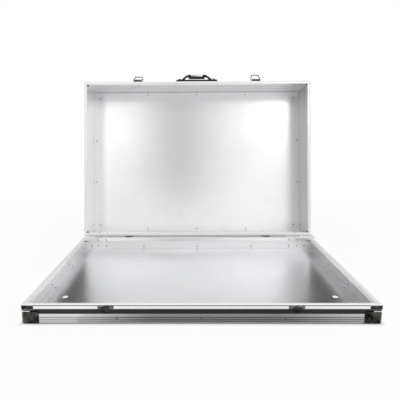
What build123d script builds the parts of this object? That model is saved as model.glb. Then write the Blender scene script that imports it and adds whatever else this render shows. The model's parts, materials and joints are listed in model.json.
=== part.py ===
"""A long, shallow sheet-aluminium storage case that lies open.

The shallow half lies on the table (base). The deeper half stands behind it on two hinges (lid) and carries
the handle and both latches. Millimetres, +Z up, the latch side of the lying half faces -Y.
"""

import os
from math import atan, cos, degrees, hypot, pi, radians, sin, sqrt

from build123d import *

os.makedirs("parts", exist_ok=True)

# Case: outside of the edge profiles, and the angle between the mouths of the two halves
case_width = 800
case_depth = 545
base_height = 44
lid_height = 146
open_angle = 99.8

# Sheet, and the rim profile round each mouth
sheet = 1.2
rim_width = 10
rim_depth = 10.6
rim_bevel = 0.6
rim_gap = 0.4
rim_wall = 1.4
slot_top = 3.8
shadow_groove_top = 1.3
shadow_groove_wide = 1.7
shadow_groove_deep = 1.0
chamber_top = 4.4
tongue_wide = 1.6
tongue_high = 1.8
tongue_play = 0.6

# Ribbed edge profile round each panel, and the upright posts of the same section
edge_leg = 22.5
post_leg = 18
edge_wall = 2.2
rib_first = 5.4
rib_pitch = 4.4
rib_groove_wide = 1.3
rib_groove_deep = 0.8

# Pressed corner pieces on the panel corners and corner covers on the rims
corner_leg = 38
corner_height = 27
corner_wall = 1.2
corner_cut = 8
corner_bevel = 4.0
edge_bevel = 1.4
corner_lobe = 4
cover_leg = 27
cover_wall = 0.9
cover_bevel = 1.6

# Rivets
shank_radius = 1.55
shank_play = 0.1
head_radius = 2.7
head_height = 1.0
tail_radius = 2.2
tail_height = 0.8
rivet_sides = 6
head_taper = 36
rivet_edge = 12.5
long_pitch = 0.235 * case_width
short_pitch = 160 / 545 * case_depth
corner_rivet = 27.2
dimple_radius = 3.3
dimple_sides = 8
dimple_floor = 2.0

# Two holes in the floor of the lying half, for bolting a train insert down
floor_hole_radius = 7.5
floor_hole_side = 56
floor_hole_pitch = case_width - 2 * floor_hole_side
floor_hole_inset = 135

# Hinges
hinge_side = 67
hinge_place = case_width / 2 - hinge_side
leaf_width = 50
leaf_wall = 1.5
leaf_drop = 37
leaf_rivet_pitch = 28
leaf_rim_row = 7.2
leaf_low_row = 30.5
pin_radius = 2.5
pin_play = 0.06
knuckle_count = 3
knuckle_gap = 0.3
knuckle_play = 0.34
turned_sides = 12
stop_width = 8
stop_wall = 3
stop_drop = 7.5
stop_play = 0.05

# Strikes on the rim of the lying half
latch_side_gap = 188
latch_place = case_width / 2 - latch_side_gap
strike_wall = 1.2
strike_width = 36
strike_bevel = 1.6
strike_top = 1.5
strike_bottom = 10
strike_rivet_pitch = 26.5
strike_rivet_drop = 6
hook_width = 18
hook_tip_width = 11
hook_pocket = 2.3
hook_centre_drop = 7.8
hook_length = 7.5

# Latches: the lever turns in two ears of the plate, the wire loop turns in the lever
latch_wall = 1.5
latch_width = 35
latch_length = 49
latch_bevel = 2.5
latch_from_rim = 0.6
ear_wall = 1.2
ear_radius = 5.6
ear_gap = 26
pivot_back = 19
pivot_height = 8
lever_wall = 1.2
lever_play = 0.5
lever_tip_width = 13
lever_length = 37
lever_taper_start = 16
lever_skirt = 4
lever_open_end = 6
lever_points = (
    (-4.6, -1.5),
    (-3.6, 2.4),
    (-1, 4.2),
    (4, 4.6),
    (14, 3.0),
    (26, -1.2),
    (31, -2.0),
    (37, -1.2),
    (37, -2.6),
    (31, -3.6),
    (14, -4.8),
    (-2, -4.8),
)
lever_pin_radius = 1.5
lever_pin_play = 0.05
loop_wire = 1.2
wire_sides = 6
loop_play = 0.05
loop_back = 28.2
loop_height = 6.4
loop_half_width = 15.8
loop_tip_half_width = 11.8
loop_straight = 18
loop_bend = 2.4
left_loop_lean = 44
right_loop_lean = 52
hook_play_out = 0.7
hook_play_down = 0.4
latch_rivet_spots = ((-7.5, 15.5), (7.5, 15.5), (0, 45))

# Handle
handle_back = 45
handle_length = 172
handle_end_slope = 12.5
handle_top_length = handle_length - 2 * handle_end_slope
handle_width = 42
handle_side_slope = 3
handle_top_width = handle_width - 2 * handle_side_slope
handle_base_height = 11
handle_bevel = 6
handle_rivet_pitch = handle_length - 13
handle_end_wall = 9.5
well_half_length = handle_top_length / 2 - handle_end_wall
well_side_wall = 3
well_half_width = handle_top_width / 2 - well_side_wall
well_floor = 0.5
rivet_seat_height = 1.2
rivet_seat_radius = 4
handle_pivot_height = 7
handle_pin_radius = 2.5
handle_pin_length = 18
handle_pin_play = 0.05
grip_end_play = 0.6
grip_half_length = well_half_length - grip_end_play
grip_slope = 35
root_length = 19
grip_thick = 14
grip_bevel = 1.8
grip_top = 35
grip_bottom = 21.5
grip_hand_half = grip_half_length - grip_slope
grip_root_inner = grip_half_length - root_length
root_play = 0.4
root_shoulder = 7
root_outside = ((0, 2), (5, 8))
root_inside = (19.5, 11.5)
grip_outside = ((13, 5.5), (2, 0))
grip_underside = ((0, 13.5), (2, 6.5), (10, 9))
strip_end = 7
strip_half_length = grip_hand_half - strip_end
strip_wall = 0.9
strip_low = 28.4

# Feet on the hinge side of the deeper half
foot_side = 150
foot_place = case_width / 2 - foot_side
foot_rows = (30, lid_height - 38)
foot_radius = 12
foot_sides = 12
foot_taper = 6
foot_height = 14
foot_web = 3
foot_recess_radius = 4.5

# Worked out
low_corner = (Align.MIN, Align.MIN)
hang = (Align.MIN, Align.MAX)
skin = edge_wall + sheet
knuckle_radius = pin_radius + pin_play + leaf_wall
hinge_offset = knuckle_radius + knuckle_play
strike_reach = strike_wall + 2 * hook_pocket + strike_wall
rim_level = base_height + corner_wall
lean = radians(open_angle)
lid_out = (0, -sin(lean), -cos(lean))
lid_up = (0, -cos(lean), sin(lean))
swing = case_depth / 2 + hinge_offset
lid_back = (2 * swing - hinge_offset + corner_wall) * lid_up[1]
lid_back += -(lid_height + corner_wall) * lid_out[1] + head_height
base_centre = (strike_reach - hinge_offset - lid_back) / 2
hinge_y = base_centre + swing
hinge_z = rim_level + rim_gap / 2
drill_length = 70
tail_taper = degrees(atan((tail_radius - shank_radius) * cos(pi / rivet_sides) / tail_height))
bevel_growth = 2 - sqrt(2)


class Half:
    """One half of the case in its own frame: the mouth's plane is at height 0 and +Z points out of the mouth."""

    def __init__(self, name, frame, height, front, tongue):
        self.name = name
        self.frame = frame
        self.height = height
        self.front = front
        self.tongue = tongue

    def plane(self, origin, x_dir, z_dir):
        """A plane given in the half's frame."""
        turned = [self.frame.from_local_coords(Vector(*d)) - self.frame.origin for d in (x_dir, z_dir)]
        at = self.frame.from_local_coords(Vector(*origin))
        return Plane(origin=at, x_dir=turned[0], z_dir=turned[1])

    def inward(self, side):
        """Direction from a side towards the middle of the half."""
        across = {"front": (0, -self.front), "back": (0, self.front), "left": (1, 0), "right": (-1, 0)}
        return across[side]

    def reach(self, side):
        return (case_depth if side in ("front", "back") else case_width) / 2

    def length(self, side):
        return case_width if side in ("front", "back") else case_depth

    def section(self, side, height=0):
        """Plane across a side, for its profiles: X inward from the outer face, Y up, Z along the side."""
        nx, ny = self.inward(side)
        reach = self.reach(side)
        return self.plane((-nx * reach, -ny * reach, height), (nx, ny, 0), (ny, -nx, 0))

    def on_side(self, side, along, height):
        """Plane on the outer face of a side, facing out; along is measured on the half's X or Y."""
        nx, ny = self.inward(side)
        ax, ay = abs(ny), abs(nx)
        reach = self.reach(side)
        at = (-nx * reach + ax * along, -ny * reach + ay * along, height)
        return self.plane(at, (ax, ay, 0), (-nx, -ny, 0))

    def under(self, x, y, lift=0):
        """Plane on the outer face of the panel, facing out."""
        return self.plane((x, y, -self.height + lift), (1, 0, 0), (0, 0, -1))

    def mitre(self, side, end):
        """Plane that cuts a rim bar at 45 degrees, facing away from the bar."""
        nx, ny = self.inward(side)
        tx, ty = end * ny, -end * nx
        reach = self.reach(side)
        half_length = self.length(side) / 2
        at = (-nx * reach + tx * half_length, -ny * reach + ty * half_length, 0)
        return self.plane(at, (-ty - ny, tx + nx, 0), (tx + nx, ty + ny, 0))

    def corners(self, height):
        """Planes at the four upright corners, each with X and Y along the two sides and Z up."""
        w, d = case_width / 2, case_depth / 2
        spots = (((-w, -d), (1, 0)), ((w, -d), (0, 1)), ((w, d), (-1, 0)), ((-w, d), (0, -1)))
        return [self.plane((x, y, height), (dx, dy, 0), (0, 0, 1)) for (x, y), (dx, dy) in spots]

    def wall_rivets(self, side):
        height = -self.height + rivet_edge
        return [self.on_side(side, along, height) for along in rivet_places(side)]

    def panel_rivets(self, side):
        nx, ny = self.inward(side)
        inset = self.reach(side) - rivet_edge
        ax, ay = abs(ny), abs(nx)
        return [self.under(-nx * inset + ax * a, -ny * inset + ay * a) for a in rivet_places(side)]

    def corner_side_rivets(self, side):
        """Rivets through the upright legs of the corner pieces, on the outer face of those legs."""
        place = self.length(side) / 2 - corner_rivet
        height = -self.height + rivet_edge
        return [self.on_side(side, sign * place, height).offset(corner_wall) for sign in (-1, 1)]

    def corner_panel_rivets(self):
        """Rivets through the panel legs of the corner pieces, seated in their dimples."""
        x, y = case_width / 2 - corner_rivet, case_depth / 2 - corner_rivet
        lift = edge_wall - dimple_floor
        return [self.under(sx * x, sy * y, lift) for sx in (-1, 1) for sy in (-1, 1)]


sides = ("front", "back", "left", "right")
base = Half(
    "base",
    Plane(origin=(0, base_centre, rim_level), x_dir=(1, 0, 0), z_dir=(0, 0, 1)),
    base_height,
    -1,
    False,
)
lid_origin = (
    0,
    hinge_y + swing * lid_up[1] - rim_gap / 2 * lid_out[1],
    hinge_z + swing * lid_up[2] - rim_gap / 2 * lid_out[2],
)
lid = Half("lid", Plane(origin=lid_origin, x_dir=(1, 0, 0), z_dir=lid_out), lid_height, 1, True)


def rivet_places(side):
    """Places of the rivets along a side: three on the long sides, two on the short ones."""
    if side in ("front", "back"):
        return (-long_pitch, 0, long_pitch)
    return (-short_pitch / 2, short_pitch / 2)


def save(piece, label):
    """Names a finished piece and writes it."""
    piece.part.label = label
    export_step(piece.part, f"parts/{label}.step")


def drill(planes, radius):
    """Cuts round holes through the piece being made, along the facing of each plane."""
    if planes:
        with Locations(*planes):
            Cylinder(radius, drill_length, mode=Mode.SUBTRACT)


def punch_tool():
    """Six-sided punch for the holes of the rivets."""
    with BuildPart() as tool:
        with BuildSketch():
            RegularPolygon(shank_radius + shank_play, rivet_sides)
        extrude(amount=drill_length / 2, both=True)
    return tool.part


def punch(planes):
    """Cuts rivet holes through the piece being made, along the facing of each plane."""
    if planes:
        with Locations(*planes):
            add(rivet_punch, mode=Mode.SUBTRACT)


def edge_section(leg):
    """Ribbed L-shaped section, with the outer corner at the sketch's origin."""
    Rectangle(leg, leg, align=low_corner)
    with Locations((edge_wall, edge_wall)):
        Rectangle(leg, leg, align=low_corner, mode=Mode.SUBTRACT)
    chamfer(vertices().sort_by_distance((0, 0))[0], edge_bevel)
    for i in range(int((leg - rib_first) / rib_pitch)):
        at = rib_first + i * rib_pitch
        with Locations((at, 0)):
            Rectangle(rib_groove_wide, rib_groove_deep, align=(Align.CENTER, Align.MIN), mode=Mode.SUBTRACT)
        with Locations((0, at)):
            Rectangle(rib_groove_deep, rib_groove_wide, align=(Align.MIN, Align.CENTER), mode=Mode.SUBTRACT)


def make_rim(half, side, holes):
    """Extruded rim bar with a slot for the wall sheet, a hollow, and a tongue or a groove where the halves meet."""
    hollow_left = skin + rim_wall
    hollow_wide = rim_width - hollow_left - rim_wall
    tongue_middle = hollow_left + hollow_wide / 2
    with BuildPart() as rim:
        with BuildSketch(half.section(side)):
            Rectangle(rim_width, rim_depth, align=hang)
            chamfer(vertices(), rim_bevel)
            with Locations((edge_wall, -slot_top)):
                Rectangle(sheet, rim_depth, align=hang, mode=Mode.SUBTRACT)
            with Locations((0, -shadow_groove_top)):
                Rectangle(shadow_groove_deep, shadow_groove_wide, align=hang, mode=Mode.SUBTRACT)
            with Locations((hollow_left, -chamber_top)):
                Rectangle(hollow_wide, rim_depth - chamber_top - rim_wall, align=hang, mode=Mode.SUBTRACT)
            if half.tongue:
                with Locations((tongue_middle, 0)):
                    Rectangle(tongue_wide, tongue_high, align=(Align.CENTER, Align.MIN))
            else:
                with Locations((tongue_middle, 0)):
                    Rectangle(
                        tongue_wide + 2 * tongue_play,
                        tongue_high + tongue_play,
                        align=(Align.CENTER, Align.MAX),
                        mode=Mode.SUBTRACT,
                    )
        extrude(amount=half.length(side) / 2, both=True)
        split(bisect_by=half.mitre(side, -1), keep=Keep.BOTTOM)
        split(bisect_by=half.mitre(side, 1), keep=Keep.BOTTOM)
        punch(holes)
    save(rim, f"{half.name}_rim_{side}")


def make_wall(half, side, holes):
    """Wall sheet, standing on the edge profile with its upper edge in the slot of the rim."""
    bottom = -half.height + edge_wall
    margin = edge_wall if side in ("front", "back") else skin
    face = half.on_side(side, 0, (bottom - slot_top) / 2).offset(-edge_wall)
    with BuildPart() as wall:
        with BuildSketch(face):
            Rectangle(half.length(side) - 2 * margin, -slot_top - bottom)
        extrude(amount=-sheet)
        punch(holes)
    save(wall, f"{half.name}_wall_{side}")


def make_edge(half, side, holes):
    """Ribbed edge profile under a wall, mitred and cut short at both ends under the corner pieces."""
    with BuildPart() as edge:
        with BuildSketch(half.section(side, -half.height)):
            edge_section(edge_leg)
        extrude(amount=half.length(side) / 2 - corner_cut, both=True)
        split(bisect_by=half.mitre(side, -1), keep=Keep.BOTTOM)
        split(bisect_by=half.mitre(side, 1), keep=Keep.BOTTOM)
        punch(holes)
    save(edge, f"{half.name}_edge_{side}")


def make_posts(half):
    """Four upright posts between the corner pieces and the rim."""
    length = half.height - corner_height - rim_depth
    with BuildPart() as posts:
        for spot in half.corners(-half.height + corner_height):
            with BuildSketch(spot):
                edge_section(post_leg)
            extrude(amount=length)
    save(posts, f"{half.name}_corner_posts")


def make_panel(half, holes, floor_holes):
    """Flat panel between the walls, on the inner legs of the edge profiles."""
    face = half.plane((0, 0, -half.height + edge_wall), (1, 0, 0), (0, 0, 1))
    with BuildPart() as panel:
        with BuildSketch(face):
            Rectangle(case_width - 2 * skin, case_depth - 2 * skin)
        extrude(amount=sheet)
        punch(holes)
        drill(floor_holes, floor_hole_radius)
    save(panel, f"{half.name}_panel")


def corner_block(spot, grow, over):
    """Block with one bevelled corner, grown outwards by grow and past its open ends by over."""
    size = corner_leg + grow + over
    outside = spot.from_local_coords(Vector(-grow, -grow, -grow))
    upright = Axis(spot.origin, spot.z_dir)
    with BuildPart(spot) as block:
        with Locations((-grow, -grow, -grow)):
            Box(size, size, corner_height + grow + over, align=(Align.MIN, Align.MIN, Align.MIN))
        chamfer(edges().filter_by(upright).sort_by_distance(outside)[0], corner_bevel + grow * bevel_growth)
        chamfer(faces().sort_by(upright)[0].edges().sort_by_distance(outside)[:3], edge_bevel + grow * bevel_growth)
    return block.part


def corner_piece(spot):
    """Pressed cap over one panel corner, with a dimple for its rivet."""
    full = corner_block(spot, corner_wall, 0)
    space = corner_block(spot, 0, corner_wall)
    middle = -corner_wall / 2
    tips = (
        ((corner_leg, corner_leg, middle), corner_lobe + corner_wall / 2),
        ((corner_leg, middle, corner_height), corner_lobe),
        ((middle, corner_leg, corner_height), corner_lobe),
    )
    with BuildPart() as cap:
        add(full)
        add(space, mode=Mode.SUBTRACT)
        for tip, radius in tips:
            at = spot.from_local_coords(Vector(*tip))
            chamfer(edges().sort_by_distance(at)[0], radius)
        with BuildSketch(spot.offset(-corner_wall)):
            with Locations((corner_rivet, corner_rivet)):
                RegularPolygon(dimple_radius + corner_wall, dimple_sides)
        extrude(amount=corner_wall + edge_wall, dir=spot.z_dir)
        with BuildSketch(spot.offset(-corner_wall)):
            with Locations((corner_rivet, corner_rivet)):
                RegularPolygon(dimple_radius, dimple_sides)
        extrude(amount=corner_wall + edge_wall - dimple_floor, dir=spot.z_dir, mode=Mode.SUBTRACT)
    return cap.part


def make_corners(half, holes):
    """The four corner pieces of a half."""
    pieces = [corner_piece(spot) for spot in half.corners(-half.height)]
    with BuildPart() as corners:
        add(pieces)
        punch(holes)
    save(corners, f"{half.name}_corners")


def make_rim_corners(half):
    """Bent covers round the rim's four corners, hooked under the rim."""
    low = rim_depth + cover_wall
    with BuildPart() as covers:
        for spot in half.corners(-low):
            with BuildSketch(spot):
                with Locations((-cover_wall, -cover_wall)):
                    Rectangle(cover_leg, cover_leg, align=low_corner)
                chamfer(vertices().sort_by_distance((-cover_wall, -cover_wall))[0], cover_bevel)
                with Locations((edge_wall, edge_wall)):
                    Rectangle(cover_leg, cover_leg, align=low_corner, mode=Mode.SUBTRACT)
                Rectangle(post_leg, post_leg, align=low_corner, mode=Mode.SUBTRACT)
            extrude(amount=cover_wall)
            with BuildSketch(spot):
                with Locations((-cover_wall, -cover_wall)):
                    Rectangle(cover_leg, cover_leg, align=low_corner)
                chamfer(vertices().sort_by_distance((-cover_wall, -cover_wall))[0], cover_bevel)
                Rectangle(cover_leg, cover_leg, align=low_corner, mode=Mode.SUBTRACT)
            extrude(amount=low - shadow_groove_top)
    save(covers, f"{half.name}_rim_corners")


def rivet(grip):
    """One rivet along Z with a faceted head, seated at height 0 and flared past -grip."""
    with BuildPart() as one:
        with BuildSketch():
            RegularPolygon(head_radius, rivet_sides)
        extrude(amount=head_height, taper=head_taper)
        with BuildSketch():
            RegularPolygon(shank_radius, rivet_sides)
        extrude(amount=-grip)
        with BuildSketch(Plane.XY.offset(-grip - tail_height)):
            RegularPolygon(tail_radius, rivet_sides)
        extrude(amount=tail_height, taper=tail_taper)
    return one.part


def make_rivets(groups, label):
    """Rivets of one or more grips, each group a list of seats and the grip there."""
    kinds = [(seats, rivet(grip)) for seats, grip in groups]
    with BuildPart() as rivets:
        for seats, one in kinds:
            with Locations(*seats):
                add(one)
    save(rivets, label)


def knuckle_spans(own):
    """Places and widths of the hinge knuckles that belong to the lying half (own 0) or the other one (own 1)."""
    pitch = leaf_width / knuckle_count
    return [(-leaf_width / 2 + (i + 0.5) * pitch, pitch) for i in range(knuckle_count) if i % 2 == own]


def make_leaf(half, sign, side_name, holes):
    """Hinge leaf with its knuckles; the other half's leaf steps down to its wall and carries the stop."""
    own = 1 if half.tongue else 0
    across = half.section("back")
    place = sign * hinge_place
    run = place * across.z_dir.X
    axis_at = (-hinge_offset, rim_gap / 2)
    step = rim_depth + leaf_wall / 2
    with BuildPart() as leaf:
        with BuildSketch(across.offset(run)):
            if half.tongue:
                out = edge_wall - leaf_wall
                Polygon(
                    (-leaf_wall, 0),
                    (-leaf_wall, -step - leaf_wall / 2),
                    (out, -step - leaf_wall / 2 - edge_wall),
                    (out, -leaf_drop),
                    (edge_wall, -leaf_drop),
                    (edge_wall, -step - edge_wall),
                    (0, -step),
                    (0, 0),
                    align=None,
                )
            else:
                with Locations((-leaf_wall, 0)):
                    Rectangle(leaf_wall, leaf_drop, align=hang)
        extrude(amount=leaf_width / 2, both=True)
        for middle, wide in knuckle_spans(1 - own):
            with BuildSketch(across.offset(run + middle)):
                with Locations(axis_at):
                    Circle(knuckle_radius + knuckle_play)
            extrude(amount=wide / 2, both=True, mode=Mode.SUBTRACT)
        for middle, wide in knuckle_spans(own):
            with BuildSketch(across.offset(run + middle)):
                with Locations(axis_at):
                    RegularPolygon(knuckle_radius, turned_sides)
            extrude(amount=(wide - knuckle_gap) / 2, both=True)
        if half.tongue:
            with BuildSketch(base.section("back").offset(place * base.section("back").z_dir.X)):
                with Locations((-leaf_wall - stop_play, axis_at[1])):
                    Rectangle(stop_wall, stop_drop + rim_gap / 2, align=(Align.MAX, Align.MAX))
            extrude(amount=stop_width / 2, both=True)
        with BuildSketch(across.offset(run)):
            with Locations(axis_at):
                Circle(pin_radius + pin_play)
        extrude(amount=leaf_width, both=True, mode=Mode.SUBTRACT)
        punch(holes)
    save(leaf, f"hinge_{side_name}_{half.name}_leaf")


def leaf_rows(half, sign):
    """Seats of a hinge leaf's rivets: the row on the rim, and the row on the wall or edge profile."""
    places = [sign * hinge_place + s * leaf_rivet_pitch / 2 for s in (-1, 1)]
    low_seat = leaf_wall - edge_wall if half.tongue else leaf_wall
    rim_row = [half.on_side("back", x, -leaf_rim_row).offset(leaf_wall) for x in places]
    low_row = [half.on_side("back", x, -leaf_low_row).offset(low_seat) for x in places]
    return rim_row, low_row


def make_hinge_pin(sign, side_name):
    """Hinge pin with a small head at each end."""
    across = Plane(origin=(sign * hinge_place, hinge_y, hinge_z), x_dir=(0, 1, 0), z_dir=(1, 0, 0))
    with BuildPart() as pin:
        with BuildSketch(across):
            Circle(pin_radius)
        extrude(amount=leaf_width / 2 + head_height, both=True)
        for end in (-1, 1):
            with BuildSketch(across.offset(end * (leaf_width / 2 + head_height))):
                Circle(pin_radius + leaf_wall / 2)
            extrude(amount=-end * (head_height - knuckle_gap / 2))
    save(pin, f"hinge_{side_name}_pin")


def make_strike(sign, side_name, holes):
    """Riveted plate with a hook that opens downwards, for the latch loop."""
    seat = base.on_side("front", sign * latch_place, 0)
    across = Plane(origin=seat.origin, x_dir=seat.z_dir, z_dir=-seat.x_dir)
    out = strike_wall + hook_pocket
    bend = hook_pocket + strike_wall
    tip = hook_centre_drop + hook_length
    with BuildPart() as strike:
        with BuildSketch(across):
            with Locations((out, -hook_centre_drop)):
                Circle(bend)
                Circle(hook_pocket, mode=Mode.SUBTRACT)
            with Locations((0, -hook_centre_drop)):
                Rectangle(2 * out, bend, align=hang, mode=Mode.SUBTRACT)
            with Locations((2 * out - strike_wall, -hook_centre_drop)):
                Rectangle(strike_wall, hook_length, align=hang)
            with Locations((0, -hook_centre_drop)):
                Rectangle(strike_wall, strike_bottom - hook_centre_drop, align=hang)
        extrude(amount=hook_width / 2, both=True)
        with BuildSketch(seat):
            Polygon(
                (-hook_width / 2, 0),
                (hook_width / 2, 0),
                (hook_width / 2, -hook_centre_drop),
                (hook_tip_width / 2, -tip),
                (-hook_tip_width / 2, -tip),
                (-hook_width / 2, -hook_centre_drop),
                align=None,
            )
        extrude(amount=2 * out, mode=Mode.INTERSECT)
        with BuildSketch(seat):
            with Locations((0, -(strike_top + strike_bottom) / 2)):
                Rectangle(strike_width, strike_bottom - strike_top)
                chamfer(vertices(), strike_bevel)
        extrude(amount=strike_wall)
        punch(holes)
    save(strike, f"strike_{side_name}")


def strike_rivets(sign):
    places = [sign * latch_place + s * strike_rivet_pitch / 2 for s in (-1, 1)]
    return [base.on_side("front", x, -strike_rivet_drop).offset(strike_wall) for x in places]


def latch_seat(sign):
    """Plane of a latch on the lid's front: X along the case, Y away from the rim, Z out of the wall."""
    return lid.on_side("front", sign * latch_place, 0)


def latch_side(seat, x=0):
    """Plane across a latch: X away from the rim, Y out of the wall."""
    return Plane(origin=seat.origin + x * seat.x_dir, x_dir=seat.y_dir, z_dir=seat.x_dir)


def latch_rivets(sign):
    floor = latch_seat(sign).offset(latch_wall - edge_wall)
    return [
        Plane(origin=floor.origin + x * floor.x_dir + y * floor.y_dir, x_dir=floor.x_dir, z_dir=floor.z_dir)
        for x, y in latch_rivet_spots
    ]


def make_latch_plate(sign, side_name, holes):
    """Pressed plate on the wall sheet with two ears for the lever's pin."""
    seat = latch_seat(sign)
    start = rim_depth + latch_from_rim
    with BuildPart() as plate:
        with BuildSketch(seat.offset(-edge_wall)):
            with Locations((0, start + latch_length / 2)):
                Rectangle(latch_width, latch_length)
                chamfer(vertices(), latch_bevel)
        extrude(amount=latch_wall)
        for ear in (-1, 1):
            inner = ear * (ear_gap / 2 + (ear_wall if ear < 0 else 0))
            with BuildSketch(latch_side(seat, inner)):
                with Locations((pivot_back, pivot_height)):
                    RegularPolygon(ear_radius, turned_sides, rotation=180 / turned_sides)
                with Locations((start + latch_wall, latch_wall - edge_wall)):
                    Rectangle(2 * (pivot_back - start - latch_wall), 1, align=low_corner)
                make_hull()
            extrude(amount=ear_wall)
        with BuildSketch(latch_side(seat)):
            with Locations((pivot_back, pivot_height)):
                Circle(lever_pin_radius + lever_pin_play / 2)
        extrude(amount=latch_width, both=True, mode=Mode.SUBTRACT)
        punch(holes)
    save(plate, f"latch_{side_name}_plate")


def lever_outline(drop):
    """Side outline of a latch lever, lowered by drop."""
    with BuildSketch() as outline:
        with BuildLine():
            Polyline(*[(pivot_back + s, pivot_height + h - drop) for s, h in lever_points], close=True)
        make_face()
    return outline.sketch


def make_lever(sign, side_name):
    """Pressed channel lever that tapers to a finger tip and turns up at its end."""
    seat = latch_seat(sign)
    across = latch_side(seat)
    outer = ear_gap / 2 - lever_play
    far = pivot_back + lever_length
    outside, inside = lever_outline(0), lever_outline(lever_wall)
    with BuildPart() as lever:
        with BuildSketch(across):
            add(outside)
        extrude(amount=outer, both=True)
        with BuildSketch(across):
            add(inside)
            with Locations((pivot_back - lever_open_end, 0)):
                Rectangle(2 * lever_length, pivot_height - lever_skirt, align=low_corner)
        extrude(amount=outer - lever_wall, both=True, mode=Mode.SUBTRACT)
        with BuildSketch(seat):
            Polygon(
                (-outer, 0),
                (outer, 0),
                (outer, pivot_back + lever_taper_start),
                (lever_tip_width / 2, far),
                (-lever_tip_width / 2, far),
                (-outer, pivot_back + lever_taper_start),
                align=None,
            )
            chamfer(vertices().group_by(Axis.Y)[-1], lever_tip_width / 4)
        extrude(amount=2 * pivot_height, both=True, mode=Mode.INTERSECT)
        for spot, radius in (
            ((pivot_back, pivot_height), lever_pin_radius + lever_pin_play),
            ((loop_back, loop_height), loop_wire + loop_play),
        ):
            with BuildSketch(across):
                with Locations(spot):
                    Circle(radius)
            extrude(amount=latch_width, both=True, mode=Mode.SUBTRACT)
    save(lever, f"latch_{side_name}_lever")


def loop_length():
    """Reach of the loop from its pivot to the bar, set by where the bar lies in the hook when the case is shut."""
    bar_drop = hook_centre_drop - hook_play_down + rim_gap
    bar_out = strike_wall + hook_pocket + hook_play_out
    return hypot(loop_back + bar_drop, loop_height - bar_out)


def make_loop(sign, side_name, lean_out):
    """Bent wire loop whose ends turn in the lever's side walls."""
    seat = latch_seat(sign)
    tilt = radians(lean_out)
    along = seat.y_dir * cos(tilt) + seat.z_dir * sin(tilt)
    pivot = seat.origin + seat.y_dir * loop_back + seat.z_dir * loop_height
    flat = Plane(origin=pivot, x_dir=seat.x_dir, z_dir=seat.x_dir.cross(along))
    inner = ear_gap / 2 - lever_play - lever_wall - loop_wire / 2
    reach = loop_length()
    right = [
        (inner, 0),
        (loop_half_width - loop_bend, 0),
        (loop_half_width, loop_bend),
        (loop_half_width, loop_straight),
        (loop_tip_half_width, reach - loop_bend),
        (loop_tip_half_width - loop_bend, reach),
    ]
    route = [(-x, y) for x, y in right] + right[::-1]
    with BuildPart() as loop:
        with BuildLine(flat) as wire:
            Polyline(*route)
        with BuildSketch(Plane(origin=wire.line @ 0, z_dir=wire.line % 0)):
            RegularPolygon(loop_wire, wire_sides)
        sweep(transition=Transition.RIGHT)
    save(loop, f"latch_{side_name}_loop")


def make_latch_pins():
    """The two lever pins."""
    with BuildPart() as pins:
        for sign in (-1, 1):
            with BuildSketch(latch_side(latch_seat(sign))):
                with Locations((pivot_back, pivot_height)):
                    Circle(lever_pin_radius)
            extrude(amount=ear_gap / 2 + ear_wall, both=True)
    save(pins, "latch_pins")


def handle_seat():
    """Plane of the handle on the lid's front: X along the case, Y away from the rim, Z out of the wall."""
    seat = lid.on_side("front", 0, 0)
    return Plane(origin=seat.origin + handle_back * seat.y_dir, x_dir=seat.x_dir, z_dir=seat.z_dir)


def handle_pivot_plane():
    """Plane across the handle's pivot: Z along the case."""
    seat = handle_seat().offset(handle_pivot_height)
    return Plane(origin=seat.origin, x_dir=seat.y_dir, z_dir=seat.x_dir)


def handle_rivet_seats():
    seat = handle_seat().offset(rivet_seat_height)
    return [
        Plane(origin=seat.origin + s * handle_rivet_pitch / 2 * seat.x_dir, x_dir=seat.x_dir, z_dir=seat.z_dir)
        for s in (-1, 1)
    ]


def make_handle_base(holes):
    """Moulded base with sloping ends, a well for the fingers and sockets for the pins."""
    seat = handle_seat()
    with BuildPart() as body:
        with BuildSketch(seat.offset(-edge_wall)):
            Rectangle(handle_length, handle_width)
            chamfer(vertices(), handle_bevel)
        with BuildSketch(seat.offset(handle_base_height)):
            Rectangle(handle_top_length, handle_top_width)
            chamfer(vertices(), handle_bevel - 1)
        loft()
        with BuildSketch(seat.offset(well_floor)):
            Rectangle(2 * well_half_length, 2 * well_half_width)
        extrude(amount=handle_base_height, mode=Mode.SUBTRACT)
        for hole in holes:
            with BuildSketch(hole):
                RegularPolygon(rivet_seat_radius, dimple_sides)
            extrude(amount=handle_base_height, mode=Mode.SUBTRACT)
        with BuildSketch(handle_pivot_plane()):
            Circle(handle_pin_radius)
        extrude(amount=grip_half_length + handle_pin_length / 2, both=True, mode=Mode.SUBTRACT)
        punch(holes)
    save(body, "handle_base")


def strip_inside(height):
    """Outline of the grip under the bright strip."""
    x, y = grip_thick / 2 - strip_wall, height / 2 - strip_wall
    cut = grip_bevel - strip_wall * bevel_growth
    right = [(x, -y + cut), (x, y - cut), (x - cut, y), (-x + cut, y), (-x, y - cut), (-x, -y + cut)]
    return right + [(-x + cut, -y), (x - cut, -y)]


def strip_section():
    """Cross-section of the bright strip over the upper half of the grip."""
    height = grip_top - grip_bottom
    middle = (grip_top + grip_bottom) / 2
    with Locations((0, middle)):
        Rectangle(grip_thick, height)
        chamfer(vertices(), grip_bevel)
        Polygon(*strip_inside(height), align=None, mode=Mode.SUBTRACT)
    with Locations((0, strip_low)):
        Rectangle(2 * grip_thick, 2 * height, align=(Align.CENTER, Align.MAX), mode=Mode.SUBTRACT)


def strip_plane():
    seat = handle_seat()
    return Plane(origin=seat.origin, x_dir=-seat.y_dir, z_dir=-seat.x_dir)


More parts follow.
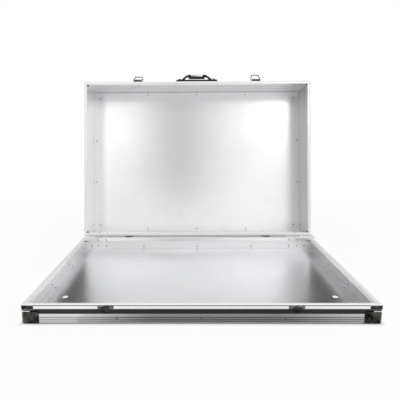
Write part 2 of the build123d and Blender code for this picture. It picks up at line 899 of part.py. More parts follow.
def make_grip():
    """Moulded bow: two roots on the pins, two arms and a thicker hand grip, with a seat for the strip."""
    seat = handle_seat()
    face = Plane(origin=seat.origin, x_dir=seat.x_dir, z_dir=-seat.y_dir)
    root_low = well_floor + root_play
    right = [(grip_half_length, root_low)]
    right += [(grip_half_length - x, handle_pivot_height + y) for x, y in root_outside]
    right += [(grip_hand_half + x, grip_top - y) for x, y in grip_outside]
    under = [(grip_hand_half + x, grip_top - y) for x, y in grip_underside]
    under += [(grip_half_length - root_inside[0], handle_pivot_height + root_inside[1])]
    under += [(grip_root_inner, root_low)]
    outline = right + [(-x, y) for x, y in right[::-1]]
    outline += [(-x, y) for x, y in under[::-1]] + under
    with BuildPart() as grip:
        with BuildSketch(face):
            Polygon(*outline, align=None)
        extrude(amount=grip_thick / 2, both=True)
        rim_edges = faces().filter_by(Axis(seat.origin, seat.y_dir)).edges()
        chamfer(rim_edges, grip_bevel)
        with BuildSketch(handle_pivot_plane()):
            RegularPolygon(handle_pivot_height - well_floor - root_play, turned_sides)
            with Locations((0, root_shoulder)):
                Rectangle(grip_thick, grip_top, align=(Align.CENTER, Align.MIN))
            make_hull()
        extrude(amount=grip_half_length, both=True, mode=Mode.INTERSECT)
        with BuildSketch(strip_plane()):
            strip_section()
        extrude(amount=strip_half_length, both=True, mode=Mode.SUBTRACT)
        with BuildSketch(handle_pivot_plane()):
            Circle(handle_pin_radius + handle_pin_play)
        extrude(amount=handle_length, both=True, mode=Mode.SUBTRACT)
    save(grip, "handle_grip")


def make_strip():
    """Bright metal strip bent over the upper half of the grip."""
    seat = handle_seat()
    with BuildPart() as strip:
        with BuildSketch(strip_plane()):
            strip_section()
        extrude(amount=strip_half_length, both=True)
    save(strip, "handle_strip")


def make_handle_pins():
    """Two pins between the base and the roots of the grip."""
    across = handle_pivot_plane()
    with BuildPart() as pins:
        for sign in (-1, 1):
            with BuildSketch(across.offset(sign * grip_half_length)):
                Circle(handle_pin_radius)
            extrude(amount=handle_pin_length / 2, both=True)
    save(pins, "handle_pins")


def foot_seats():
    """Planes on the wall sheet at the hinge side, where the feet stand."""
    return [
        lid.on_side("back", sx * foot_place, -row).offset(-edge_wall) for sx in (-1, 1) for row in foot_rows
    ]


def make_feet(holes):
    """Four round rubber feet with a sunk rivet."""
    tall = foot_height + edge_wall
    with BuildPart() as feet:
        for seat in foot_seats():
            with BuildSketch(seat):
                RegularPolygon(foot_radius, foot_sides)
            extrude(amount=tall, taper=foot_taper)
            with BuildSketch(seat.offset(foot_web)):
                RegularPolygon(foot_recess_radius, dimple_sides)
            extrude(amount=tall, mode=Mode.SUBTRACT)
        punch(holes)
    save(feet, "lid_feet")


def make_half(half, extra):
    """Panel, walls, rims, edge profiles, posts and corner pieces; extra holds the other holes, by side."""
    for side in sides:
        wall = half.wall_rivets(side)
        cap = half.corner_side_rivets(side)
        make_rim(half, side, extra["rim"].get(side, []))
        make_wall(half, side, wall + cap + extra["wall"].get(side, []))
        make_edge(half, side, wall + cap + half.panel_rivets(side) + extra["edge"].get(side, []))
    panel = [seat for side in sides for seat in half.panel_rivets(side)]
    caps = [seat for side in sides for seat in half.corner_side_rivets(side)]
    make_panel(half, panel + half.corner_panel_rivets(), extra["floor"])
    make_posts(half)
    make_corners(half, caps + half.corner_panel_rivets())
    make_rim_corners(half)
    walls = [seat for side in sides for seat in half.wall_rivets(side)]
    groups = [(walls + panel, skin), (caps, corner_wall + skin), (half.corner_panel_rivets(), sheet + dimple_floor)]
    make_rivets(groups + extra["rivets"], f"{half.name}_rivets")


rivet_punch = punch_tool()
hands = ((-1, "left"), (1, "right"))
base_rows = [leaf_rows(base, sign) for sign, _ in hands]
lid_rows = [leaf_rows(lid, sign) for sign, _ in hands]
base_rim_row, base_low_row = [rows[0] + rows[1] for rows in zip(*base_rows)]
lid_rim_row, lid_low_row = [rows[0] + rows[1] for rows in zip(*lid_rows)]
strike_seats = strike_rivets(-1) + strike_rivets(1)
latch_seats = latch_rivets(-1) + latch_rivets(1)
handle_seats = handle_rivet_seats()
foot_rivets = [seat.offset(foot_web) for seat in foot_seats()]
floor_y = -case_depth / 2 + floor_hole_inset
floor_holes = [base.under(s * floor_hole_pitch / 2, floor_y) for s in (-1, 1)]

make_half(
    base,
    {
        "rim": {"front": strike_seats, "back": base_rim_row},
        "wall": {"front": strike_seats, "back": base_rim_row + base_low_row},
        "edge": {"back": base_low_row},
        "floor": floor_holes,
        "rivets": [],
    },
)
make_half(
    lid,
    {
        "rim": {"back": lid_rim_row},
        "wall": {"front": latch_seats + handle_seats, "back": lid_rim_row + lid_low_row + foot_rivets},
        "edge": {},
        "floor": [],
        "rivets": [(foot_rivets, foot_web + sheet)],
    },
)

for sign, side_name in hands:
    for half in (base, lid):
        rim_row, low_row = leaf_rows(half, sign)
        make_leaf(half, sign, side_name, rim_row + low_row)
    make_hinge_pin(sign, side_name)
    make_strike(sign, side_name, strike_rivets(sign))
    make_latch_plate(sign, side_name, latch_rivets(sign))
    make_lever(sign, side_name)

make_loop(-1, "left", left_loop_lean)
make_loop(1, "right", right_loop_lean)
make_latch_pins()
make_handle_base(handle_seats)
make_grip()
make_strip()
make_handle_pins()
make_feet(foot_rivets)
make_rivets(
    [(base_rim_row, leaf_wall + rim_width), (base_low_row, leaf_wall + skin)],
    "base_hinge_rivets",
)
make_rivets(
    [(lid_rim_row, leaf_wall + rim_width), (lid_low_row, leaf_wall + sheet)],
    "lid_hinge_rivets",
)
make_rivets([(strike_seats, strike_wall + rim_width)], "strike_rivets")
make_rivets([(latch_seats, latch_wall + sheet)], "latch_rivets")
make_rivets([(handle_seats, rivet_seat_height + edge_wall + sheet)], "handle_rivets")
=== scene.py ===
"""Looks of an open aluminium storage case: studio, finishes and the fine metal pieces."""

import itertools
import json
import math

import bmesh
import bpy
from mathutils import Matrix, Vector


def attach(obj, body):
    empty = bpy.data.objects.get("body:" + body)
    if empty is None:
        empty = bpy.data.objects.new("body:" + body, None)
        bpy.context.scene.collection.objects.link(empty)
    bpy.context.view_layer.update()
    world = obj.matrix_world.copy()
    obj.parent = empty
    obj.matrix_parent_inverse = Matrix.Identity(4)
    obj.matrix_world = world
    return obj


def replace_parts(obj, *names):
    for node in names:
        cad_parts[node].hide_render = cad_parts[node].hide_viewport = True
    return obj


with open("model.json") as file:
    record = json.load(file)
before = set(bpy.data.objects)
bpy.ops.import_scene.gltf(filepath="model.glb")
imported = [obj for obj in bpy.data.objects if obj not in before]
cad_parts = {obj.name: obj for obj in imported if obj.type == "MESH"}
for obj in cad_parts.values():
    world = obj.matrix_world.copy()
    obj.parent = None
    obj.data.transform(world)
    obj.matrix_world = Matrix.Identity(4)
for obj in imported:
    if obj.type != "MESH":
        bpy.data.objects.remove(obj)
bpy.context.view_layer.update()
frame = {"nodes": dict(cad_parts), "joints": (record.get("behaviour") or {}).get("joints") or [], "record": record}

bl_info = {
    "name": "Aluminium storage case",
    "version": (1, 0, 0),
    "blender": (4, 5, 0),
    "location": "3D View > Sidebar > Storage case",
    "description": "Finishes, fine metal pieces and studio for an open storage case",
    "category": "Object",
}

MM = 0.001
OPEN_ANGLE = math.radians(-frame["joints"][0]["range_deg"][0])
LID_OUT = Vector((0, -math.sin(OPEN_ANGLE), -math.cos(OPEN_ANGLE)))
LID_UP = Vector((0, -math.cos(OPEN_ANGLE), math.sin(OPEN_ANGLE)))
LEAN_BACK = OPEN_ANGLE - math.pi / 2
SIDES = ("front", "back", "left", "right")
HALVES = ("base", "lid")

# Cards that only reflections see: name, size, place, turn about the upright in degrees, which card
UPRIGHT_CARDS = (
    ("card_left", (0.75, 1.3), (-0.84, 0.8, 0.62), 0, "dark card"),
    ("card_right", (0.75, 1.3), (0.84, 0.8, 0.62), 0, "dark card"),
    ("card_left_front", (1.5, 1.3), (-0.95, -0.6, 0.66), 90, "dark card"),
    ("card_behind_camera", (0.42, 1.4), (-0.14, -1.95, 1.2), 0, "grey card"),
)
# Softboxes: name, place, aim, shares of the softbox size and power
SOFTBOXES = (
    ("softbox_left", (-0.88, -1.6, 1.08), (0.0, 0.25, 0.3), 1.0, 0.6),
    ("softbox_right", (0.88, -1.6, 1.28), (0.0, 0.25, 0.3), 0.66, 0.8),
    ("softbox_top", (0.0, -0.3, 2.6), (0.0, 0.0, 0.0), 2.903, 11.0),
)
# Camera: place, angles in degrees, lens in sensor widths, optical centre and picture width in pixels
CAMERA_PLACE = (-0.02046, -1.25867, 0.44501)
CAMERA_YAW, CAMERA_PITCH, CAMERA_ROLL = 0.658, 8.871, -0.2813
CAMERA_LENS = 1.0381
CAMERA_CENTRE = (186.7, 186.69)
PICTURE_WIDTH = 400
SENSOR_WIDTH = 36.0
# Floor that the case shades (middle and half width in x, then in y), its holes and the radius of the painted pool
# of light under each
FOOTPRINT = ((0.0, 0.4, 0.0, 0.391), (0.01, 0.443, 0.365, 0.065))
FLOOR_HOLES = ((-0.344, -0.25), (0.344, -0.25))
FLOOR_HOLE_LIGHT = 0.028

# Outward direction of each side and panel
LEFT, RIGHT = Vector((-1, 0, 0)), Vector((1, 0, 0))
FRONT, BACK, UNDER = Vector((0, -1, 0)), Vector((0, 1, 0)), Vector((0, 0, -1))
OUTWARD = {
    "base": {"front": FRONT, "back": BACK, "left": LEFT, "right": RIGHT, "panel": UNDER},
    "lid": {"front": LID_UP, "back": -LID_UP, "left": LEFT, "right": RIGHT, "panel": -LID_OUT},
}
JOINTS = {joint["name"]: joint for joint in frame["joints"]}
BODY_OF = {node: body for body, nodes in frame["record"]["behaviour"]["bodies"].items() for node in nodes}

# Handle base in millimetres: outlines (along the case, over the pivot), and from where to where across
END_BLOCK = ((64.7, 1.0), (64.7, 9.4), (66.0, 8.7), (75.2, 2.6), (74.5, 0.5))
END_CHEEK = ((57.6, 1.0), (57.6, 10.2), (60.0, 11.8), (66.0, 8.7), (75.2, 2.6), (74.5, 0.5))
END_PARTS = ((END_CHEEK, -15.0, -11.3), (END_CHEEK, 11.3, 15.0), (END_BLOCK, -11.8, 11.8))
SIDE_BEAD = ((-74.5, 2.4), (-72.5, 6.4), (72.5, 6.4), (74.5, 2.4))
SIDE_BEADS = ((SIDE_BEAD, -18.2, -16.7), (SIDE_BEAD, 16.7, 18.2))

# Bands in millimetres under the outer faces: grooves and legs of an edge profile, its bevel, a strike's hook; the
# grooves, bevel and hook get painted shade
EDGE_GROOVE = (0.2, 0.9)
EDGE_LEG = (2, 22)
EDGE_BEVEL = (0.3, 1.6)
STRIKE_HOOK_SHADE = (-1, 3.0)
# Bands of a rim, first under its outer face and then under the mouth: shadow groove with painted shade, slot and
# top with painted pale light
RIM_GROOVE = ((0.2, 1.1), (1.1, 3.2))
RIM_SLOT = ((5.2, 8.2), (0.1, 2.6))
RIM_TOP = (-0.5, 0.3)
# Bands at a rim cover: its leg along the side, the shaded post, its line of painted light, the ends of its legs
# with painted light
COVER_LEG = (-1, 25.5)
POST_SHADE = (10.5, 14.8)
COVER_LIGHT_LINE = (1.0, 1.55)
COVER_END_LIGHT = (10.9, 30)
COVER_TO_MOUTH = 1.3
# Millimetres from the middle of the case to the outermost rivets
OUTER_RIVETS = (366, 410)
# Metres from an inner corner at which a crease's painted shade starts and is full
CREASE_FADE = (0.0035, 0.0004)

# Sides of a spun rivet and foot, and how far a rivet's bulb reaches back along its shank in millimetres
RIVET_SIDES = 12
FOOT_SIDES = 32
RIVET_TAIL = 0.8
# Foot in millimetres: radius of its root, top and recess, level of the recess
FOOT_SHAPE = (11.8, 10.2, 4.5, 3.0)
ROUNDED_ABOVE = math.radians(28)

# Wire loops: radii and corners in millimetres, lean at rest in degrees
PIVOT_RADIUS = 1.15
WIRE_RADIUS = 1.5
LOOP_LEAN = {"left": 44, "right": 52}
LOOP_CORNERS = ((10.8, 0.0), (15.8, 0.0), (15.8, 18.0), (11.8, 36.07))
LOOP_BENDS = (2.4, 12.0, 2.4)

# Painted light and shade of the walls as tones against the sheet colour, painted shade on the floor's front as its
# tone against its back, strength of the painted shade in the creases
PAINTED_WALL_LIGHT_AND_SHADE = {
    "base_panel": 1.02,
    "base_wall_back": 1.03,
    "base_wall_left": 0.86,
    "base_wall_right": 0.62,
    "lid_wall_back": 1.03,
    "lid_wall_left": 1.03,
    "lid_wall_right": 0.62,
}
FLOOR_FRONT_SHADE = 0.78
CREASE_SHADE = {
    "base": {"front": 0.1, "back": 0.12, "left": 0.1, "right": 0.12},
    "lid": {"front": 0.6, "back": 0.15, "left": 0.12, "right": 0.2},
}
BASE_RIVETS = ("base_rivets", "base_hinge_rivets", "strike_rivets")
LID_RIVETS = ("lid_rivets", "lid_hinge_rivets", "latch_rivets", "handle_rivets")


# Shader node groups


def new_group(name, inputs, outputs):
    """An empty shader node group with named sockets, and its input and output nodes."""
    group = bpy.data.node_groups.new(name, "ShaderNodeTree")
    for label, kind, value in inputs:
        socket = group.interface.new_socket(name=label, in_out="INPUT", socket_type=kind)
        if value is not None:
            socket.default_value = value
    for label, kind in outputs:
        group.interface.new_socket(name=label, in_out="OUTPUT", socket_type=kind)
    return group, group.nodes.new("NodeGroupInput"), group.nodes.new("NodeGroupOutput")


def feed(tree, socket, value):
    """Links a socket to an output, or sets it to a plain value."""
    if isinstance(value, bpy.types.NodeSocket):
        tree.links.new(value, socket)
    else:
        socket.default_value = value


def math_node(tree, operation, a, b=None, clamp=False):
    """A maths node fed by sockets or numbers; gives its output."""
    node = tree.nodes.new("ShaderNodeMath")
    node.operation = operation
    node.use_clamp = clamp
    feed(tree, node.inputs[0], a)
    if b is not None:
        feed(tree, node.inputs[1], b)
    return node.outputs[0]


def vector_node(tree, operation, a, b, result="Value"):
    """A vector maths node fed by sockets or vectors; gives its value, or its vector."""
    node = tree.nodes.new("ShaderNodeVectorMath")
    node.operation = operation
    feed(tree, node.inputs[0], a)
    feed(tree, node.inputs[1], b)
    return node.outputs[result]


def ramp_node(tree, value, low, high):
    """Smooth step of a value between low and high."""
    node = tree.nodes.new("ShaderNodeMapRange")
    node.interpolation_type = "SMOOTHSTEP"
    node.inputs["From Min"].default_value = low
    node.inputs["From Max"].default_value = high
    tree.links.new(value, node.inputs["Value"])
    return node.outputs["Result"]


def axis_node(tree, vector, axis):
    """One coordinate of a vector."""
    split = tree.nodes.new("ShaderNodeSeparateXYZ")
    tree.links.new(vector, split.inputs[0])
    return split.outputs[axis]


def noise_node(tree, vector, scale, detail=2.0, roughness=0.5):
    node = tree.nodes.new("ShaderNodeTexNoise")
    node.inputs["Scale"].default_value = scale
    node.inputs["Detail"].default_value = detail
    node.inputs["Roughness"].default_value = roughness
    tree.links.new(vector, node.inputs["Vector"])
    return node.outputs["Fac"]


def grain_group():
    """Fine parallel lines of brushed or rolled metal."""
    group, source, sink = new_group(
        "brushed grain",
        [("Vector", "NodeSocketVector", None), ("Stretch", "NodeSocketVector", (1.0, 1.0, 1.0))],
        [("Grain", "NodeSocketFloat"), ("Bands", "NodeSocketFloat")],
    )
    scaled = vector_node(group, "MULTIPLY", source.outputs["Vector"], source.outputs["Stretch"], "Vector")
    fine = noise_node(group, scaled, 1.0, 4.0, 0.7)
    wide = noise_node(group, scaled, 0.09, 2.0)
    group.links.new(fine, sink.inputs["Grain"])
    group.links.new(wide, sink.inputs["Bands"])
    return group


SCUFF_STRETCH = (18.0, 260.0, 90.0)


def marks_group():
    """Cloudy marks and fine scuffs that handling leaves on metal."""
    group, source, sink = new_group(
        "handling marks",
        [("Vector", "NodeSocketVector", None), ("Amount", "NodeSocketFloat", 1.0)],
        [("Clouds", "NodeSocketFloat"), ("Scuffs", "NodeSocketFloat")],
    )
    cloud = ramp_node(group, noise_node(group, source.outputs["Vector"], 7.0, 5.0, 0.6), 0.42, 0.72)
    slanted = group.nodes.new("ShaderNodeVectorRotate")
    slanted.inputs["Angle"].default_value = 0.5
    slanted.inputs["Axis"].default_value = (0.3, 0.5, 0.8)
    group.links.new(source.outputs["Vector"], slanted.inputs["Vector"])
    stretched = vector_node(group, "MULTIPLY", slanted.outputs[0], SCUFF_STRETCH, "Vector")
    scuff = ramp_node(group, noise_node(group, stretched, 1.0, 2.0), 0.66, 0.8)
    patch = ramp_node(group, noise_node(group, source.outputs["Vector"], 16.0, 2.0), 0.5, 0.7)
    scuff = math_node(group, "MULTIPLY", scuff, patch)
    for label, value in (("Clouds", cloud), ("Scuffs", scuff)):
        out = math_node(group, "MULTIPLY", value, source.outputs["Amount"])
        group.links.new(out, sink.inputs[label])
    return group


def specks_group():
    """Small pits and worn specks of plated and moulded pieces."""
    group, source, sink = new_group(
        "pits and specks",
        [("Vector", "NodeSocketVector", None), ("Size", "NodeSocketFloat", 900.0)],
        [("Specks", "NodeSocketFloat"), ("Mottle", "NodeSocketFloat")],
    )
    cells = group.nodes.new("ShaderNodeTexVoronoi")
    group.links.new(source.outputs["Vector"], cells.inputs["Vector"])
    group.links.new(source.outputs["Size"], cells.inputs["Scale"])
    specks = ramp_node(group, cells.outputs["Distance"], 0.16, 0.05)
    third = math_node(group, "MULTIPLY", source.outputs["Size"], 0.3)
    mottle = group.nodes.new("ShaderNodeTexNoise")
    mottle.inputs["Detail"].default_value = 3.0
    group.links.new(source.outputs["Vector"], mottle.inputs["Vector"])
    group.links.new(third, mottle.inputs["Scale"])
    group.links.new(specks, sink.inputs["Specks"])
    group.links.new(mottle.outputs["Fac"], sink.inputs["Mottle"])
    return group


GROUPS = {"grain": grain_group(), "marks": marks_group(), "specks": specks_group()}


# Materials


def new_material(name):
    """A node material with its Principled BSDF and object coordinates."""
    material = bpy.data.materials.new(name)
    material.use_nodes = True
    tree = material.node_tree
    shader = tree.nodes["Principled BSDF"]
    coordinates = tree.nodes.new("ShaderNodeTexCoord")
    return material, tree, shader, coordinates.outputs["Object"]


def coordinates_of(tree):
    return tree.nodes["Texture Coordinate"].outputs["Object"]


def placed_group(tree, key, vector):
    node = tree.nodes.new("ShaderNodeGroup")
    node.node_tree = GROUPS[key]
    tree.links.new(vector, node.inputs["Vector"])
    return node


def turned(tree, vector, angle):
    """Object coordinates turned about X, so a pattern follows the leaning half."""
    node = tree.nodes.new("ShaderNodeMapping")
    node.inputs["Rotation"].default_value = (angle, 0.0, 0.0)
    tree.links.new(vector, node.inputs["Vector"])
    return node.outputs["Vector"]


def mix_colour(tree, factor, a, b, blend="MIX"):
    """Mixes two colours; each is a socket or an RGB tuple."""
    node = tree.nodes.new("ShaderNodeMix")
    node.data_type = "RGBA"
    node.blend_type = blend
    tree.links.new(factor, node.inputs["Factor"])
    for socket, value in ((node.inputs[6], a), (node.inputs[7], b)):
        feed(tree, socket, (*value, 1.0) if isinstance(value, tuple) else value)
    return node.outputs[2]


def bump(tree, shader, height, depth, strength=1.0):
    node = tree.nodes.new("ShaderNodeBump")
    node.inputs["Strength"].default_value = strength
    node.inputs["Distance"].default_value = depth
    tree.links.new(height, node.inputs["Height"])
    tree.links.new(node.outputs["Normal"], shader.inputs["Normal"])


def shade(colour, factor):
    return tuple(c * factor for c in colour)


def brushed_metal(name, colour, roughness, stretch, angle=0.0, marks=1.0, depth=0.000003, spread=0.03):
    """Metal with grain, cloudy handling marks and fine scuffs."""
    material, tree, shader, vector = new_material(name)
    if angle:
        vector = turned(tree, vector, angle)
    grain = placed_group(tree, "grain", vector)
    grain.inputs["Stretch"].default_value = stretch
    wear = placed_group(tree, "marks", vector)
    wear.inputs["Amount"].default_value = marks
    shader.inputs["Metallic"].default_value = 1.0
    lines = mix_colour(tree, grain.outputs["Grain"], shade(colour, 0.93), shade(colour, 1.05))
    clouded = mix_colour(tree, wear.outputs["Clouds"], lines, shade(colour, 0.95))
    surface = mix_colour(tree, wear.outputs["Scuffs"], clouded, shade(colour, 1.12))
    tree.links.new(surface, shader.inputs["Base Color"])
    rough = math_node(tree, "MULTIPLY", grain.outputs["Bands"], spread)
    rough = math_node(tree, "ADD", rough, roughness - spread / 2)
    cloud_rough = math_node(tree, "MULTIPLY", wear.outputs["Clouds"], spread * 0.4)
    tree.links.new(math_node(tree, "ADD", rough, cloud_rough, clamp=True), shader.inputs["Roughness"])
    bump(tree, shader, grain.outputs["Grain"], depth)
    return material


def plated_metal(name, colour, roughness, speck=0.35, size=900.0, spread=0.2):
    """Chromed or zinc-plated metal with a mottled polish and a few worn specks."""
    material, tree, shader, vector = new_material(name)
    pits = placed_group(tree, "specks", vector)
    pits.inputs["Size"].default_value = size
    wear = placed_group(tree, "marks", vector)
    shader.inputs["Metallic"].default_value = 1.0
    mottle = ramp_node(tree, pits.outputs["Mottle"], 0.3, 0.7)
    body = mix_colour(tree, mottle, shade(colour, 1.0 - spread), shade(colour, 1.0 + spread))
    specks = math_node(tree, "MULTIPLY", pits.outputs["Specks"], speck)
    body = mix_colour(tree, specks, body, shade(colour, 0.45))
    surface = mix_colour(tree, wear.outputs["Scuffs"], body, shade(colour, 1.5))
    tree.links.new(surface, shader.inputs["Base Color"])
    rough = math_node(tree, "MULTIPLY", pits.outputs["Mottle"], 0.12)
    rough = math_node(tree, "ADD", rough, roughness - 0.06)
    scuffed = math_node(tree, "MULTIPLY", wear.outputs["Scuffs"], 0.15)
    tree.links.new(math_node(tree, "ADD", rough, scuffed, clamp=True), shader.inputs["Roughness"])
    bump(tree, shader, pits.outputs["Mottle"], 0.00004)
    return material


def moulded(name, colour, roughness, grain_size, depth, worn=None):
    """Moulded plastic or rubber with a fine grain and paler scuffs."""
    material, tree, shader, vector = new_material(name)
    pits = placed_group(tree, "specks", vector)
    pits.inputs["Size"].default_value = grain_size
    wear = placed_group(tree, "marks", vector)
    body = mix_colour(tree, pits.outputs["Mottle"], shade(colour, 0.75), shade(colour, 1.3))
    clouded = mix_colour(tree, wear.outputs["Clouds"], body, worn or shade(colour, 1.7))
    surface = mix_colour(tree, wear.outputs["Scuffs"], clouded, shade(colour, 3.0))
    tree.links.new(surface, shader.inputs["Base Color"])
    rough = math_node(tree, "MULTIPLY", pits.outputs["Mottle"], 0.16)
    rough = math_node(tree, "ADD", rough, roughness - 0.08)
    tree.links.new(rough, shader.inputs["Roughness"])
    shader.inputs["Specular IOR Level"].default_value = 0.15
    bump(tree, shader, pits.outputs["Mottle"], depth)
    return material


# Mesh helpers


def finish_mesh(name, mesh_edit, material, body):
    """Turns a bmesh into a piece that rides on a body."""
    bmesh.ops.recalc_face_normals(mesh_edit, faces=mesh_edit.faces)
    mesh = bpy.data.meshes.new(name)
    mesh_edit.to_mesh(mesh)
    mesh_edit.free()
    mesh.shade_smooth()
    piece = bpy.data.objects.new(name, mesh)
    bpy.context.scene.collection.objects.link(piece)
    mesh.materials.append(material)
    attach(piece, body)
    return piece


def solid_islands(node):
    """Vertex positions of each separate solid of a CAD node."""
    copy = bmesh.new()
    copy.from_mesh(frame["nodes"][node].data)
    bmesh.ops.remove_doubles(copy, verts=copy.verts, dist=1e-6)
    left = set(copy.verts)
    islands = []
    while left:
        start = left.pop()
        group, edge = [start.co.copy()], [start]
        while edge:
            for link in edge.pop().link_edges:
                for vert in link.verts:
                    if vert in left:
                        left.discard(vert)
                        group.append(vert.co.copy())
                        edge.append(vert)
        islands.append(group)
    copy.free()
    return sorted(islands, key=lambda g: tuple(round(c, 4) for c in sum(g, Vector()) / len(g)))


def rivet_axis(points, axes):
    """Place of a rivet's seat, its direction towards the head and its grip, read from its CAD solid."""
    centre = sum(points, Vector()) / len(points)

    def spread(axis):
        """Distance of each point along and from an axis."""
        offsets = [p - centre for p in points]
        return [(o.dot(axis), (o - o.dot(axis) * axis).length) for o in offsets]

    axis = min(axes, key=lambda axis: max(radius for _, radius in spread(axis)))
    places = spread(axis)
    widest = max(radius for _, radius in places)
    seats = [along for along, radius in places if radius > widest - 1e-5]
    seat_at = sum(seats) / len(seats)
    sign = 1 if seat_at > 0 else -1
    far = min(sign * along for along, _ in places)
    return centre + axis * seat_at, axis * sign, sign * seat_at - far


def rivet_profile(length, tail):
    """Outline of a blind rivet: sunk mandrel hole, dome, shank and the bulb behind the sheet."""
    return (
        (0.0, 0.35),
        (0.75, 0.35),
        (0.85, 0.95),
        (1.35, 0.97),
        (2.0, 0.78),
        (2.5, 0.42),
        (2.68, 0.0),
        (1.5, 0.0),
        (1.5, -(length - tail)),
        (2.1, -(length - tail)),
        (2.15, -(length - tail * 0.55)),
        (1.7, -(length - tail * 0.12)),
        (0.9, -length),
        (0.0, -length),
    )


def add_spun(mesh_edit, profile, seat, direction, steps):
    """Spins an outline in millimetres round a direction and places it at a seat."""
    upright = Vector((0, 0, 1)).rotation_difference(direction).to_matrix().to_4x4()
    place = Matrix.Translation(seat) @ upright @ Matrix.Scale(MM, 4)
    verts = [mesh_edit.verts.new(place @ Vector((r, 0, z))) for r, z in profile]
    edges = [mesh_edit.edges.new(pair) for pair in zip(verts, verts[1:])]
    spun = {"geom": verts + edges, "cent": seat, "axis": direction, "angle": math.tau, "steps": steps}
    bmesh.ops.spin(mesh_edit, use_merge=True, **spun)


def make_rivets(node, body, material):
    """Blind rivets with a sunk mandrel and a bulb, in place of a node's plain solids."""
    axes = [OUTWARD[body][side] for side in ("right", "back", "panel")]
    edit = bmesh.new()
    for points in solid_islands(node):
        seat, direction, length = rivet_axis(points, axes)
        add_spun(edit, rivet_profile(length / MM, RIVET_TAIL), seat, direction, RIVET_SIDES)
    bmesh.ops.remove_doubles(edit, verts=edit.verts, dist=2e-6)
    piece = finish_mesh(node + "_domed", edit, material, body)
    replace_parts(piece, node)


def rounded_copy(node, material, width, segments=2):
    """A merged copy of a CAD node with its edges rounded, in place of the node."""
    edit = bmesh.new()
    edit.from_mesh(frame["nodes"][node].data)
    bmesh.ops.remove_doubles(edit, verts=edit.verts, dist=1e-6)
    bmesh.ops.dissolve_limit(edit, angle_limit=math.radians(1), verts=edit.verts, edges=edit.edges)
    piece = finish_mesh(node + "_rounded", edit, material, BODY_OF[node])
    bevel = piece.modifiers.new("rounded edges", "BEVEL")
    bevel.width = width * MM
    bevel.segments = segments
    bevel.limit_method = "ANGLE"
    bevel.angle_limit = ROUNDED_ABOVE
    bevel.harden_normals = True
    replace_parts(piece, node)
    return piece


def bent_path(corners, bends, steps):
    """Points along straight runs whose corners are arcs of the given radii."""
    points = [Vector(corners[0])]
    for before, corner, after, radius in zip(corners, corners[1:], corners[2:], bends):
        corner = Vector(corner)
        back, ahead = (Vector(before) - corner).normalized(), (Vector(after) - corner).normalized()
        half = back.angle(ahead) / 2
        middle = corner + (back + ahead).normalized() * (radius / math.sin(half))
        start = corner + back * (radius / math.tan(half)) - middle
        end = corner + ahead * (radius / math.tan(half)) - middle
        for i in range(steps + 1):
            t = i / steps
            swing = start.lerp(end, t)
            points.append(middle + swing.normalized() * radius)
    points.append(Vector(corners[-1]))
    return points


def add_wire(mesh_edit, points, radii, segments):
    """Round wire through points: a ring at each, joined to the next."""
    rings = []
    for i, (point, radius) in enumerate(zip(points, radii)):
        ahead = (points[min(i + 1, len(points) - 1)] - points[max(i - 1, 0)]).normalized()
        side = Vector((1, 0, 0)).cross(ahead)
        side = side.normalized() if side.length > 0.1 else LID_UP.copy()
        other = ahead.cross(side).normalized()
        matrix = Matrix((other, side, ahead)).transposed().to_4x4()
        matrix.translation = point
        made = bmesh.ops.create_circle(mesh_edit, segments=segments, radius=radius, matrix=matrix)
        rings.append({edge for vert in made["verts"] for edge in vert.link_edges})
    for near, far in zip(rings, rings[1:]):
        bmesh.ops.bridge_loops(mesh_edit, edges=list(near | far))
    for ring in (rings[0], rings[-1]):
        bmesh.ops.edgeloop_fill(mesh_edit, edges=list(ring))


def foot_profile(height, base, top, recess, floor):
    """Outline of a rubber foot: flared root, ringed top, sunk middle for its rivet."""
    return (
        (0.0, floor),
        (recess - 0.6, floor),
        (recess, floor + 0.6),
        (recess, height - 0.9),
        (recess + 0.3, height - 0.3),
        (recess + 0.9, height),
        (top - 3.4, height),
        (top - 3.1, height - 0.6),
        (top - 2.5, height - 0.6),
        (top - 2.2, height),
        (top - 1.1, height),
        (top - 0.3, height - 0.35),
        (top + 0.02, height - 1.1),
        (base - 0.5, 1.2),
        (base, 0.7),
        (base, 0.0),
        (0.0, 0.0),
    )


# Panel and settings

# Limits that settings share
FACTOR = {"min": 0.0, "max": 1.0, "subtype": "FACTOR"}
COLOUR = {"size": 3, "min": 0.0, "max": 1.0, "subtype": "COLOR"}


class StudioSettings(bpy.types.PropertyGroup):
    """Sizes and levels of the studio."""

    world_level: bpy.props.FloatProperty(
        name="Room light", description="Strength of the even light", default=0.75, min=0.0, subtype="FACTOR"
    )
    lamp_power: bpy.props.FloatProperty(
        name="Softbox power", description="Power of each softbox", default=1.3, min=0.0, unit="POWER"
    )
    lamp_size: bpy.props.FloatProperty(
        name="Softbox size", description="Edge of each softbox", default=0.62, min=0.05, unit="LENGTH"
    )
    floor_size: bpy.props.FloatProperty(
        name="Floor size", description="Edge of the floor", default=12.0, min=2.0, unit="LENGTH"
    )
    dark_card: bpy.props.FloatProperty(
        name="Dark cards", description="Grey of the cards beside the case", default=0.06, **FACTOR
    )
    grey_card: bpy.props.FloatProperty(
        name="Grey card", description="Grey of the card behind the camera", default=0.2, **FACTOR
    )
    pale_card: bpy.props.FloatProperty(
        name="Pale card", description="Grey of the card above the case", default=0.56, **FACTOR
    )
    front_card: bpy.props.FloatProperty(
        name="Front card", description="Grey of the card on the floor in front", default=0.26, **FACTOR
    )


